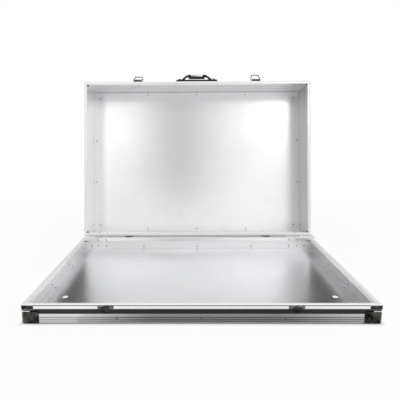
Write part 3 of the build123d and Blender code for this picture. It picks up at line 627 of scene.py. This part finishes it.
class FinishSettings(bpy.types.PropertyGroup):
    """Colours and polish of the case."""

    sheet_colour: bpy.props.FloatVectorProperty(
        name="Sheet", description="Bare aluminium sheet", default=(0.955, 0.958, 0.965), **COLOUR
    )
    skin_colour: bpy.props.FloatVectorProperty(
        name="Outer skin", description="Outer side of the sheet", default=(0.054, 0.054, 0.058), **COLOUR
    )
    profile_colour: bpy.props.FloatVectorProperty(
        name="Profiles", description="Extruded profiles", default=(0.955, 0.958, 0.965), **COLOUR
    )
    corner_colour: bpy.props.FloatVectorProperty(
        name="Corners", description="Dark corner pieces", default=(0.05, 0.05, 0.045), **COLOUR
    )
    fitting_colour: bpy.props.FloatVectorProperty(
        name="Fittings", description="Latches and strikes", default=(0.08, 0.076, 0.072), **COLOUR
    )
    moulding_colour: bpy.props.FloatVectorProperty(
        name="Handle", description="Handle mouldings", default=(0.02, 0.018, 0.017), **COLOUR
    )
    sheet_roughness: bpy.props.FloatProperty(
        name="Sheet roughness", description="Roughness of the bare sheet", default=0.28, **FACTOR
    )


def studio():
    return bpy.context.scene.case_studio


def finishes():
    return bpy.context.scene.case_finishes


def colour_of(name):
    return tuple(getattr(finishes(), name))


# Stage


def camera_ray_mix(tree, inner, shown, share):
    """Shows a plain shader to camera, glossy and transmission rays by the given share."""
    paths = tree.nodes.new("ShaderNodeLightPath")
    rays = math_node(tree, "MAXIMUM", paths.outputs["Is Camera Ray"], paths.outputs["Is Glossy Ray"])
    rays = math_node(tree, "MAXIMUM", rays, paths.outputs["Is Transmission Ray"])
    factor = math_node(tree, "MULTIPLY", rays, share)
    mix = tree.nodes.new("ShaderNodeMixShader")
    tree.links.new(factor, mix.inputs[0])
    tree.links.new(inner, mix.inputs[1])
    tree.links.new(shown, mix.inputs[2])
    return mix.outputs[0]


def build_world():
    """Even light that the camera and mirrors see as plain white."""
    world = bpy.data.worlds.new("studio")
    bpy.context.scene.world = world
    world.use_nodes = True
    tree = world.node_tree
    soft = tree.nodes["Background"]
    soft.inputs["Color"].default_value = (1.0, 1.0, 1.0, 1.0)
    soft.inputs["Strength"].default_value = studio().world_level
    white = tree.nodes.new("ShaderNodeBackground")
    white.inputs["Color"].default_value = (1.0, 1.0, 1.0, 1.0)
    white.inputs["Strength"].default_value = 1.0
    out = camera_ray_mix(tree, soft.outputs[0], white.outputs[0], 1.0)
    tree.links.new(out, tree.nodes["World Output"].inputs["Surface"])


def stage_plane(name, size_x, size_y, place, turn, material):
    edit = bmesh.new()
    bmesh.ops.create_grid(edit, x_segments=1, y_segments=1, size=0.5)
    bmesh.ops.scale(edit, vec=(size_x, size_y, 1.0), verts=edit.verts)
    mesh = bpy.data.meshes.new(name)
    edit.to_mesh(mesh)
    edit.free()
    plane = bpy.data.objects.new(name, mesh)
    plane.location = place
    plane.rotation_euler = turn
    mesh.materials.append(material)
    bpy.context.scene.collection.objects.link(plane)
    return plane


def floor_material():
    """Floor that turns white away from the case, has a painted pool of light under each hole of the base, and
    stays shaded under and near it.
    """
    material, tree, shader, vector = new_material("pale floor")
    shader.inputs["Base Color"].default_value = (0.9, 0.9, 0.9, 1.0)
    shader.inputs["Roughness"].default_value = 0.8
    white = tree.nodes.new("ShaderNodeEmission")
    white.inputs["Strength"].default_value = 1.0
    outside = None
    for middle_x, half_x, middle_y, half_y in FOOTPRINT:
        beyond = []
        for axis, middle, half in (("X", middle_x, half_x), ("Y", middle_y, half_y)):
            off = math_node(tree, "SUBTRACT", axis_node(tree, vector, axis), middle)
            beyond.append(math_node(tree, "SUBTRACT", math_node(tree, "ABSOLUTE", off), half))
        box = math_node(tree, "MAXIMUM", *beyond)
        outside = box if outside is None else math_node(tree, "MINIMUM", outside, box)
    # Painted pool of light on the floor under each hole in the base.
    for hole_x, hole_y in FLOOR_HOLES:
        off = vector_node(tree, "DISTANCE", vector, (hole_x, hole_y, 0.0))
        lit = math_node(tree, "SUBTRACT", FLOOR_HOLE_LIGHT, off)
        outside = math_node(tree, "MAXIMUM", outside, lit)
    near = ramp_node(tree, outside, -0.004, 0.012)
    far = ramp_node(tree, outside, 0.05, 0.9)
    share = math_node(tree, "MULTIPLY", near, 0.92)
    share = math_node(tree, "ADD", share, math_node(tree, "MULTIPLY", far, 0.08))
    out = camera_ray_mix(tree, shader.outputs[0], white.outputs[0], share)
    tree.links.new(out, tree.nodes["Material Output"].inputs["Surface"])
    return material


def card_material(name, grey):
    """Matt card that reflects as one grey."""
    material, _, shader, _ = new_material(name)
    shader.inputs["Base Color"].default_value = (grey, grey, grey, 1.0)
    shader.inputs["Roughness"].default_value = 0.9
    return material


def front_card_material():
    """Matt card that fades from white at its left end to grey, and is paler again at its right end."""
    grey = studio().front_card
    material = card_material("fading card", grey)
    tree = material.node_tree
    across = axis_node(tree, coordinates_of(tree), "X")
    paler = math_node(tree, "MULTIPLY", ramp_node(tree, across, -0.02, 0.2), 0.7)
    fade = math_node(tree, "SUBTRACT", ramp_node(tree, across, -0.5, -0.28), paler)
    base_colour = tree.nodes["Principled BSDF"].inputs["Base Color"]
    tree.links.new(mix_colour(tree, fade, (0.9, 0.9, 0.9), (grey, grey, grey)), base_colour)
    return material


def add_card(name, width, height, place, turn, material):
    """A card that only reflections see."""
    plane = stage_plane(name, width, height, place, turn, material)
    plane.visible_camera = False
    plane.visible_diffuse = False
    plane.visible_shadow = False
    plane.visible_transmission = False
    return plane


def add_lamp(name, place, target, size, power):
    data = bpy.data.lights.new(name, "AREA")
    data.shape = "SQUARE"
    data.size = size
    data.energy = power
    lamp = bpy.data.objects.new(name, data)
    lamp.location = place
    lamp.rotation_euler = (Vector(target) - Vector(place)).to_track_quat("-Z", "Y").to_euler()
    bpy.context.scene.collection.objects.link(lamp)


class CASE_OT_stage(bpy.types.Operator):
    """Sets the camera, floor, grey cards and soft lights"""

    bl_idname = "storage_case.stage"
    bl_label = "Stage"

    def execute(self, context):
        scene = context.scene
        scene.view_settings.view_transform = "Standard"
        build_world()
        floor_size = studio().floor_size
        stage_plane("floor", floor_size, floor_size, (0.0, 0.0, 0.0), (0.0, 0.0, 0.0), floor_material())
        cards = {
            "dark card": card_material("dark card", studio().dark_card),
            "grey card": card_material("grey card", studio().grey_card),
            "pale card": card_material("pale card", studio().pale_card),
        }
        for name, size, place, turn, card in UPRIGHT_CARDS:
            add_card(name, *size, place, (math.radians(90), 0.0, math.radians(turn)), cards[card])
        add_card("card_front", 0.94, 0.06, (0.19, -0.426, 0.0006), (0.0, 0.0, 0.0), front_card_material())
        add_card("card_top", 2.0, 1.8, (0.0, 0.12, 2.5), (0.0, 0.0, 0.0), cards["pale card"])
        for name, place, aim, size_share, power_share in SOFTBOXES:
            add_lamp(name, place, aim, studio().lamp_size * size_share, studio().lamp_power * power_share)
        self.place_camera(scene)
        return {"FINISHED"}

    def place_camera(self, scene):
        """A camera at the photo's view; its optical centre lies off the middle of the picture."""
        data = bpy.data.cameras.new("camera")
        data.sensor_fit = "HORIZONTAL"
        data.sensor_width = SENSOR_WIDTH
        data.lens = SENSOR_WIDTH * CAMERA_LENS
        data.shift_x = (PICTURE_WIDTH / 2 - CAMERA_CENTRE[0]) / PICTURE_WIDTH
        data.shift_y = (CAMERA_CENTRE[1] - PICTURE_WIDTH / 2) / PICTURE_WIDTH
        camera = bpy.data.objects.new("camera", data)
        camera.matrix_world = (
            Matrix.Translation(CAMERA_PLACE)
            @ Matrix.Rotation(math.radians(CAMERA_YAW), 4, "Z")
            @ Matrix.Rotation(math.radians(90 - CAMERA_PITCH), 4, "X")
            @ Matrix.Rotation(math.radians(CAMERA_ROLL), 4, "Z")
        )
        scene.collection.objects.link(camera)
        scene.camera = camera


# Finishes of the CAD nodes


def give(nodes, material):
    """Puts a material on every slot of the named CAD nodes."""
    for name in nodes:
        mesh = frame["nodes"][name].data
        mesh.materials.clear()
        mesh.materials.append(material)


def outermost(node, direction):
    """Level of a CAD node's outermost face along a direction."""
    return max(v.co.dot(direction) for v in frame["nodes"][node].data.vertices)


def innermost(node, direction):
    """Level of a sheet's inner face along its outward direction."""
    return min(v.co.dot(direction) for v in frame["nodes"][node].data.vertices)


def depth_under(tree, direction, face_at):
    """How far a point lies under the plane that looks along a direction from a level."""
    level = vector_node(tree, "DOT_PRODUCT", coordinates_of(tree), direction)
    return math_node(tree, "SUBTRACT", face_at, level)


def depth_in(tree, node, direction):
    """How far a point lies under a CAD node's outermost face along a direction."""
    return depth_under(tree, direction, outermost(node, direction))


def depth_in_mouth(tree, half):
    """How far a point lies under the plane of a half's mouth."""
    mouth = -OUTWARD[half]["panel"]
    return depth_under(tree, mouth, outermost(f"{half}_rim_corners", mouth) + COVER_TO_MOUTH * MM)


def between(tree, value, band):
    """1 where a value lies in a band of millimetres."""
    above = math_node(tree, "GREATER_THAN", value, band[0] * MM)
    below = math_node(tree, "LESS_THAN", value, band[1] * MM)
    return math_node(tree, "MULTIPLY", above, below)


def in_both(tree, first, first_band, second, second_band):
    """1 where two values each lie in their band."""
    return math_node(tree, "MULTIPLY", between(tree, first, first_band), between(tree, second, second_band))


def darken(material, mask, colour=(0.02, 0.02, 0.021), blend="MIX"):
    """Mixes a colour in where a mask is 1, such as painted shade in the bottom of a groove."""
    tree = material.node_tree
    target = tree.nodes["Principled BSDF"].inputs["Base Color"]
    clean = target.links[0].from_socket
    tree.links.new(mix_colour(tree, mask, clean, colour, blend), target)


def paint_pale_light(material, mask):
    """Paints pale matt light where a mask is 1, such as inside a narrow slot: the metal turns white, dull and not
    metallic there.
    """
    tree = material.node_tree
    shader = tree.nodes["Principled BSDF"]
    darken(material, mask, (0.95, 0.95, 0.95))
    tree.links.new(math_node(tree, "SUBTRACT", 1.0, mask), shader.inputs["Metallic"])
    rough = shader.inputs["Roughness"].links[0].from_socket
    tree.links.new(math_node(tree, "MAXIMUM", rough, mask), shader.inputs["Roughness"])


def two_sided_sheet(name, node, out, stretch, angle, roughness):
    """Sheet that is bare inside and darker outside; the two sides meet halfway through its thickness."""
    # The inside takes its wall's painted light and shade.
    inside, outside = shade(colour_of("sheet_colour"), PAINTED_WALL_LIGHT_AND_SHADE.get(node, 1.0)), colour_of("skin_colour")
    material = brushed_metal(name, inside, roughness, stretch, angle)
    tree = material.node_tree
    coordinates = coordinates_of(tree)
    target = tree.nodes["Principled BSDF"].inputs["Base Color"]
    bare = target.links[0].from_socket
    middle = (outermost(node, out) + innermost(node, out)) / 2
    outer = math_node(tree, "GREATER_THAN", vector_node(tree, "DOT_PRODUCT", coordinates, out), middle)
    grain = placed_group(tree, "grain", coordinates)
    grain.inputs["Stretch"].default_value = stretch
    skin = mix_colour(tree, grain.outputs["Grain"], shade(outside, 0.85), shade(outside, 1.15))
    tree.links.new(mix_colour(tree, outer, bare, skin), target)
    return material


def paint_crease_shade(material, colour, planes):
    """Painted soft shade along the inner corners, told from the distance to each wall or floor plane."""
    tree = material.node_tree
    for direction, level, strength in planes:
        near = ramp_node(tree, depth_under(tree, direction, level), *CREASE_FADE)
        mask = math_node(tree, "MULTIPLY", near, strength)
        darken(material, mask, shade(colour, 0.25))


def paint_floor_front_shade(material):
    """Painted shade: the floor turns darker towards the front."""
    tree = material.node_tree
    front = ramp_node(tree, axis_node(tree, coordinates_of(tree), "Y"), 0.12, -0.3)
    mask = math_node(tree, "MULTIPLY", front, 0.8)
    darken(material, mask, (FLOOR_FRONT_SHADE, FLOOR_FRONT_SHADE, FLOOR_FRONT_SHADE), "MULTIPLY")


class CASE_OT_sheets(bpy.types.Operator):
    """Gives panels and walls brushed sheet, bare inside and grey outside"""

    bl_idname = "storage_case.sheets"
    bl_label = "Panels and walls"

    def execute(self, context):
        sheet_for_crease_shade, rough = colour_of("sheet_colour"), finishes().sheet_roughness
        along_x, along_y, along_z = (3.0, 900.0, 900.0), (900.0, 3.0, 900.0), (900.0, 900.0, 3.0)
        for half in HALVES:
            angle = LEAN_BACK if half == "lid" else 0.0
            panel, under = f"{half}_panel", OUTWARD[half]["panel"]
            floor_at = innermost(panel, under)
            creases = []
            for side in SIDES:
                node, out = f"{half}_wall_{side}", OUTWARD[half][side]
                strength = CREASE_SHADE[half][side]
                if side in ("front", "back"):
                    stretch, roughness = along_x, rough + 0.26
                else:
                    stretch, roughness = along_y if half == "base" else along_z, rough + 0.06
                finish = two_sided_sheet(f"{half} wall sheet {side}", node, out, stretch, angle, roughness)
                # Painted shade along the crease with the floor.
                paint_crease_shade(finish, sheet_for_crease_shade, [(under, floor_at, strength)])
                give([node], finish)
                creases.append((out, innermost(node, out), strength))
            finish = two_sided_sheet(f"{half} panel sheet", panel, under, along_x, angle, rough)
            # Painted shade along the creases with the walls.
            paint_crease_shade(finish, sheet_for_crease_shade, creases)
            if half == "base":
                # Painted shade, darker towards the front of the base floor.
                paint_floor_front_shade(finish)
            give([panel], finish)
        return {"FINISHED"}


def shade_edge_grooves(material, half, side):
    """Paints shade into the grooves between the ribs on both legs of an edge profile, and onto its bevel."""
    tree, node = material.node_tree, f"{half}_edge_{side}"
    wall_depth = depth_in(tree, node, OUTWARD[half][side])
    panel_depth = depth_in(tree, node, OUTWARD[half]["panel"])
    on_wall = in_both(tree, wall_depth, EDGE_GROOVE, panel_depth, EDGE_LEG)
    on_panel = in_both(tree, panel_depth, EDGE_GROOVE, wall_depth, EDGE_LEG)
    grooves = math_node(tree, "MAXIMUM", on_wall, on_panel)
    bevel = between(tree, math_node(tree, "ADD", wall_depth, panel_depth), EDGE_BEVEL)
    darken(material, math_node(tree, "MAXIMUM", grooves, math_node(tree, "MULTIPLY", bevel, 0.75)))


def shade_rim_groove(material, half, side):
    """Paints shade into the shadow groove under the top of a rim profile, and pale light into its slot and onto
    its top.
    """
    tree = material.node_tree
    wall_depth = depth_in(tree, f"{half}_rim_{side}", OUTWARD[half][side])
    mouth_depth = depth_in_mouth(tree, half)
    darken(material, in_both(tree, wall_depth, RIM_GROOVE[0], mouth_depth, RIM_GROOVE[1]))
    slot = in_both(tree, wall_depth, RIM_SLOT[0], mouth_depth, RIM_SLOT[1])
    top = between(tree, mouth_depth, RIM_TOP)
    # Less painted light on the tops of the base's side rims.
    if half == "base" and side in ("left", "right"):
        top = math_node(tree, "MULTIPLY", top, 0.6)
    paint_pale_light(material, math_node(tree, "MAXIMUM", slot, top))


# Profiles: piece, share of the profile colour, roughness, what paints shade into its grooves
PROFILES = (("rim", 1.0, 0.24, shade_rim_groove), ("edge", 0.76, 0.26, shade_edge_grooves))


class CASE_OT_profiles(bpy.types.Operator):
    """Gives rims, edge profiles and posts the lines of extruded aluminium"""

    bl_idname = "storage_case.profiles"
    bl_label = "Profiles"

    def execute(self, context):
        colour = colour_of("profile_colour")
        for half in HALVES:
            angle = LEAN_BACK if half == "lid" else 0.0
            lengthways = (2.0, 1400.0, 1400.0)
            sideways = (1400.0, 2.0, 1400.0) if half == "base" else (1400.0, 1400.0, 2.0)
            upright = (1400.0, 1400.0, 2.0) if half == "base" else (1400.0, 2.0, 1400.0)
            for side in SIDES:
                stretch = lengthways if side in ("front", "back") else sideways
                for part, tone, rough, shade_groove in PROFILES:
                    toned = shade(colour, tone)
                    finish = brushed_metal(f"{half} {part} {side}", toned, rough, stretch, angle, 0.7)
                    shade_groove(finish, half, side)
                    give([f"{half}_{part}_{side}"], finish)
            post = brushed_metal(f"{half} post extruded", colour, 0.3, upright, angle, 0.7)
            self.shade_under_covers(post, half)
            give([f"{half}_corner_posts"], post)
        return {"FINISHED"}

    def shade_under_covers(self, post, half):
        """Darkens the top of each post next to the rim cover above it."""
        tree = post.node_tree
        band = between(tree, depth_in_mouth(tree, half), POST_SHADE)
        for pair in (("left", "right"), ("front", "back")):
            depths = [depth_in(tree, f"{half}_corner_posts", OUTWARD[half][side]) for side in pair]
            ends = [between(tree, depth, COVER_LEG) for depth in depths]
            band = math_node(tree, "MULTIPLY", band, math_node(tree, "MAXIMUM", *ends))
        darken(post, band, colour_of("corner_colour"))


def dark_plating(name):
    """Worn dark chrome of corner pieces and rim covers."""
    return plated_metal(name, colour_of("corner_colour"), 0.16, 0.35, 260.0, 0.75)


class CASE_OT_corners(bpy.types.Operator):
    """Makes the corner pieces with rounded edges and a dark worn plating"""

    bl_idname = "storage_case.corners"
    bl_label = "Corner pieces"

    def execute(self, context):
        dark = dark_plating("dark plated corner")
        for half in HALVES:
            rounded_copy(f"{half}_corners", dark, 0.8, 3)
            cover = dark_plating(f"{half} rim cover")
            tree = cover.node_tree
            mouth_depth = depth_in_mouth(tree, half)
            # Painted light: a pale line on each cover's face at the mouth, and paler ends of its legs.
            darken(cover, between(tree, mouth_depth, COVER_LIGHT_LINE), (0.9, 0.9, 0.9))
            darken(cover, between(tree, mouth_depth, COVER_END_LIGHT), (0.8, 0.8, 0.8))
            rounded_copy(f"{half}_rim_corners", cover, 0.3)
        return {"FINISHED"}


class CASE_OT_latches(bpy.types.Operator):
    """Makes the draw latches with their bent wire loops, and the strikes"""

    bl_idname = "storage_case.latches"
    bl_label = "Latches and strikes"

    def execute(self, context):
        plated = plated_metal("plated latch", colour_of("fitting_colour"), 0.2)
        wire = plated_metal("plated wire", shade(colour_of("corner_colour"), 0.5), 0.3)
        pin = plated_metal("latch pin steel", (0.3, 0.3, 0.3), 0.28)
        for side in ("left", "right"):
            rounded_copy(f"latch_{side}_plate", plated, 0.35)
            rounded_copy(f"latch_{side}_lever", plated, 0.3)
            rounded_copy(f"strike_{side}", self.strike_finish(side), 0.3)
            self.make_loop(side, wire)
        give(["latch_pins"], pin)
        return {"FINISHED"}

    def strike_finish(self, side):
        """Plated steel with painted shade on the hook, which stands out from the plate: the hook is painted near
        black.
        """
        grey = shade(colour_of("fitting_colour"), 2.6)
        finish = plated_metal(f"strike {side} plating", grey, 0.2, 0.35, 500.0, 0.5)
        tree = finish.node_tree
        # Painted shade: the hook is painted near black.
        hook = between(tree, depth_in(tree, f"strike_{side}", OUTWARD["base"]["front"]), STRIKE_HOOK_SHADE)
        darken(finish, math_node(tree, "MULTIPLY", hook, 0.85), (0.015, 0.014, 0.013))
        return finish

    def make_loop(self, side, wire):
        """Bent wire loop in place of a loop's plain solid, leaning as it does at rest."""
        lean = math.radians(LOOP_LEAN[side])
        along = -LID_OUT * math.cos(lean) + LID_UP * math.sin(lean)
        pivot = Vector(JOINTS[f"latch_{side}_loop_turn"]["pos_m"])
        right = bent_path(LOOP_CORNERS + ((0.0, LOOP_CORNERS[-1][1]),), LOOP_BENDS, 6)
        left = [Vector((-p.x, p.y)) for p in reversed(right[:-1])]
        flat = right + left
        route = [pivot + Vector((p.x * MM, 0, 0)) + along * (p.y * MM) for p in flat]
        edit = bmesh.new()
        add_wire(edit, route, [(PIVOT_RADIUS if p.y < 10 else WIRE_RADIUS) * MM for p in flat], 12)
        node = f"latch_{side}_loop"
        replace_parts(finish_mesh(node + "_wire", edit, wire, node), node)


class CASE_OT_hinges(bpy.types.Operator):
    """Makes the hinge leaves with rounded edges and their pins"""

    bl_idname = "storage_case.hinges"
    bl_label = "Hinges"

    def execute(self, context):
        zinc = plated_metal("zinc hinge", (0.6, 0.6, 0.61), 0.33)
        for side in ("left", "right"):
            for leaf in ("base_leaf", "lid_leaf"):
                rounded_copy(f"hinge_{side}_{leaf}", zinc, 0.3)
        give(["hinge_left_pin", "hinge_right_pin"], plated_metal("hinge pin steel", (0.45, 0.45, 0.46), 0.3))
        return {"FINISHED"}


class CASE_OT_rivets(bpy.types.Operator):
    """Makes the blind rivets with sunk mandrels"""

    bl_idname = "storage_case.rivets"
    bl_label = "Rivets"

    def execute(self, context):
        finish = plated_metal("steel rivet", (0.22, 0.22, 0.22), 0.25)
        tree = finish.node_tree
        outer = math_node(tree, "ABSOLUTE", axis_node(tree, coordinates_of(tree), "X"))
        outer = between(tree, outer, OUTER_RIVETS)
        darken(finish, math_node(tree, "MULTIPLY", outer, 0.8), (0.02, 0.02, 0.02))
        for node in BASE_RIVETS + LID_RIVETS:
            make_rivets(node, BODY_OF[node], finish)
        return {"FINISHED"}


class CASE_OT_handle(bpy.types.Operator):
    """Makes the handle's mouldings with rounded edges, and its bright strip"""

    bl_idname = "storage_case.handle"
    bl_label = "Handle"

    def execute(self, context):
        # The brown tint of the handling clouds is a painted reflection.
        worn = (0.06, 0.034, 0.024)
        black = moulded("black handle moulding", colour_of("moulding_colour"), 0.55, 1400.0, 0.00005, worn)
        rounded_copy("handle_base", black, 0.8, 3)
        rounded_copy("handle_grip", black, 1.2, 3)
        self.make_end_blocks(black)
        bright = plated_metal("bright handle strip", (0.82, 0.81, 0.8), 0.14)
        rounded_copy("handle_strip", bright, 0.25)
        give(["handle_pins"], plated_metal("handle pin steel", (0.5, 0.5, 0.5), 0.3))
        return {"FINISHED"}

    def make_end_blocks(self, black):
        """Sloping blocks outside the ends of the grip, and the bead along each long side of the base."""
        pivot = Vector(JOINTS["handle_swing"]["pos_m"])
        edit = bmesh.new()
        parts = [*itertools.product((-1, 1), END_PARTS), *((1, bead) for bead in SIDE_BEADS)]
        for sign, (outline, near, far) in parts:
            sides = []
            for depth in (near, far):
                verts = [
                    edit.verts.new(pivot + (RIGHT * sign * x - LID_OUT * depth + LID_UP * height) * MM)
                    for x, height in outline
                ]
                sides.append(edit.faces.new(verts))
            bmesh.ops.bridge_loops(edit, edges=[edge for face in sides for edge in face.edges])
        bmesh.ops.recalc_face_normals(edit, faces=edit.faces)
        rounding = {"offset": 0.6 * MM, "offset_type": "OFFSET", "segments": 2, "profile": 0.5}
        bmesh.ops.bevel(edit, geom=edit.edges[:], affect="EDGES", material=-1, **rounding)
        finish_mesh("handle_end_blocks", edit, black, "lid")


class CASE_OT_feet(bpy.types.Operator):
    """Makes the ringed rubber feet, each sunk in the middle for its rivet"""

    bl_idname = "storage_case.feet"
    bl_label = "Feet"

    def execute(self, context):
        down = OUTWARD["lid"]["back"]
        edit = bmesh.new()
        for points in solid_islands("lid_feet"):
            centre = sum(points, Vector()) / len(points)
            levels = [p.dot(down) for p in points]
            seat = centre + down * (min(levels) - centre.dot(down))
            height = (max(levels) - min(levels)) / MM
            add_spun(edit, foot_profile(height, *FOOT_SHAPE), seat, down, FOOT_SIDES)
        bmesh.ops.remove_doubles(edit, verts=edit.verts, dist=2e-6)
        rubber = moulded("rubber foot", (0.9, 0.9, 0.9), 0.7, 900.0, 0.00008, (0.95, 0.95, 0.95))
        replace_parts(finish_mesh("lid_feet_ringed", edit, rubber, "lid"), "lid_feet")
        return {"FINISHED"}


class CASE_PT_panel(bpy.types.Panel):
    """Lists the steps that build the storage case"""

    bl_idname = "CASE_PT_panel"
    bl_label = "Storage case"
    bl_space_type = "VIEW_3D"
    bl_region_type = "UI"
    bl_category = "Storage case"

    def draw(self, context):
        layout = self.layout
        for group in (context.scene.case_studio, context.scene.case_finishes):
            for name in group.bl_rna.properties.keys():
                if name not in ("rna_type", "name"):
                    layout.prop(group, name)
        for step in STEPS:
            layout.operator(step.bl_idname)


STEPS = (
    CASE_OT_stage,
    CASE_OT_sheets,
    CASE_OT_profiles,
    CASE_OT_corners,
    CASE_OT_latches,
    CASE_OT_hinges,
    CASE_OT_rivets,
    CASE_OT_handle,
    CASE_OT_feet,
)
CLASSES = (StudioSettings, FinishSettings, *STEPS, CASE_PT_panel)


def register():
    for item in CLASSES:
        bpy.utils.register_class(item)
    bpy.types.Scene.case_studio = bpy.props.PointerProperty(type=StudioSettings)
    bpy.types.Scene.case_finishes = bpy.props.PointerProperty(type=FinishSettings)


def unregister():
    del bpy.types.Scene.case_finishes
    del bpy.types.Scene.case_studio
    for item in reversed(CLASSES):
        bpy.utils.unregister_class(item)


def main():
    register()
    for step in STEPS:
        area, name = step.bl_idname.split(".")
        getattr(getattr(bpy.ops, area), name)()


if __name__ == "__main__":
    main()
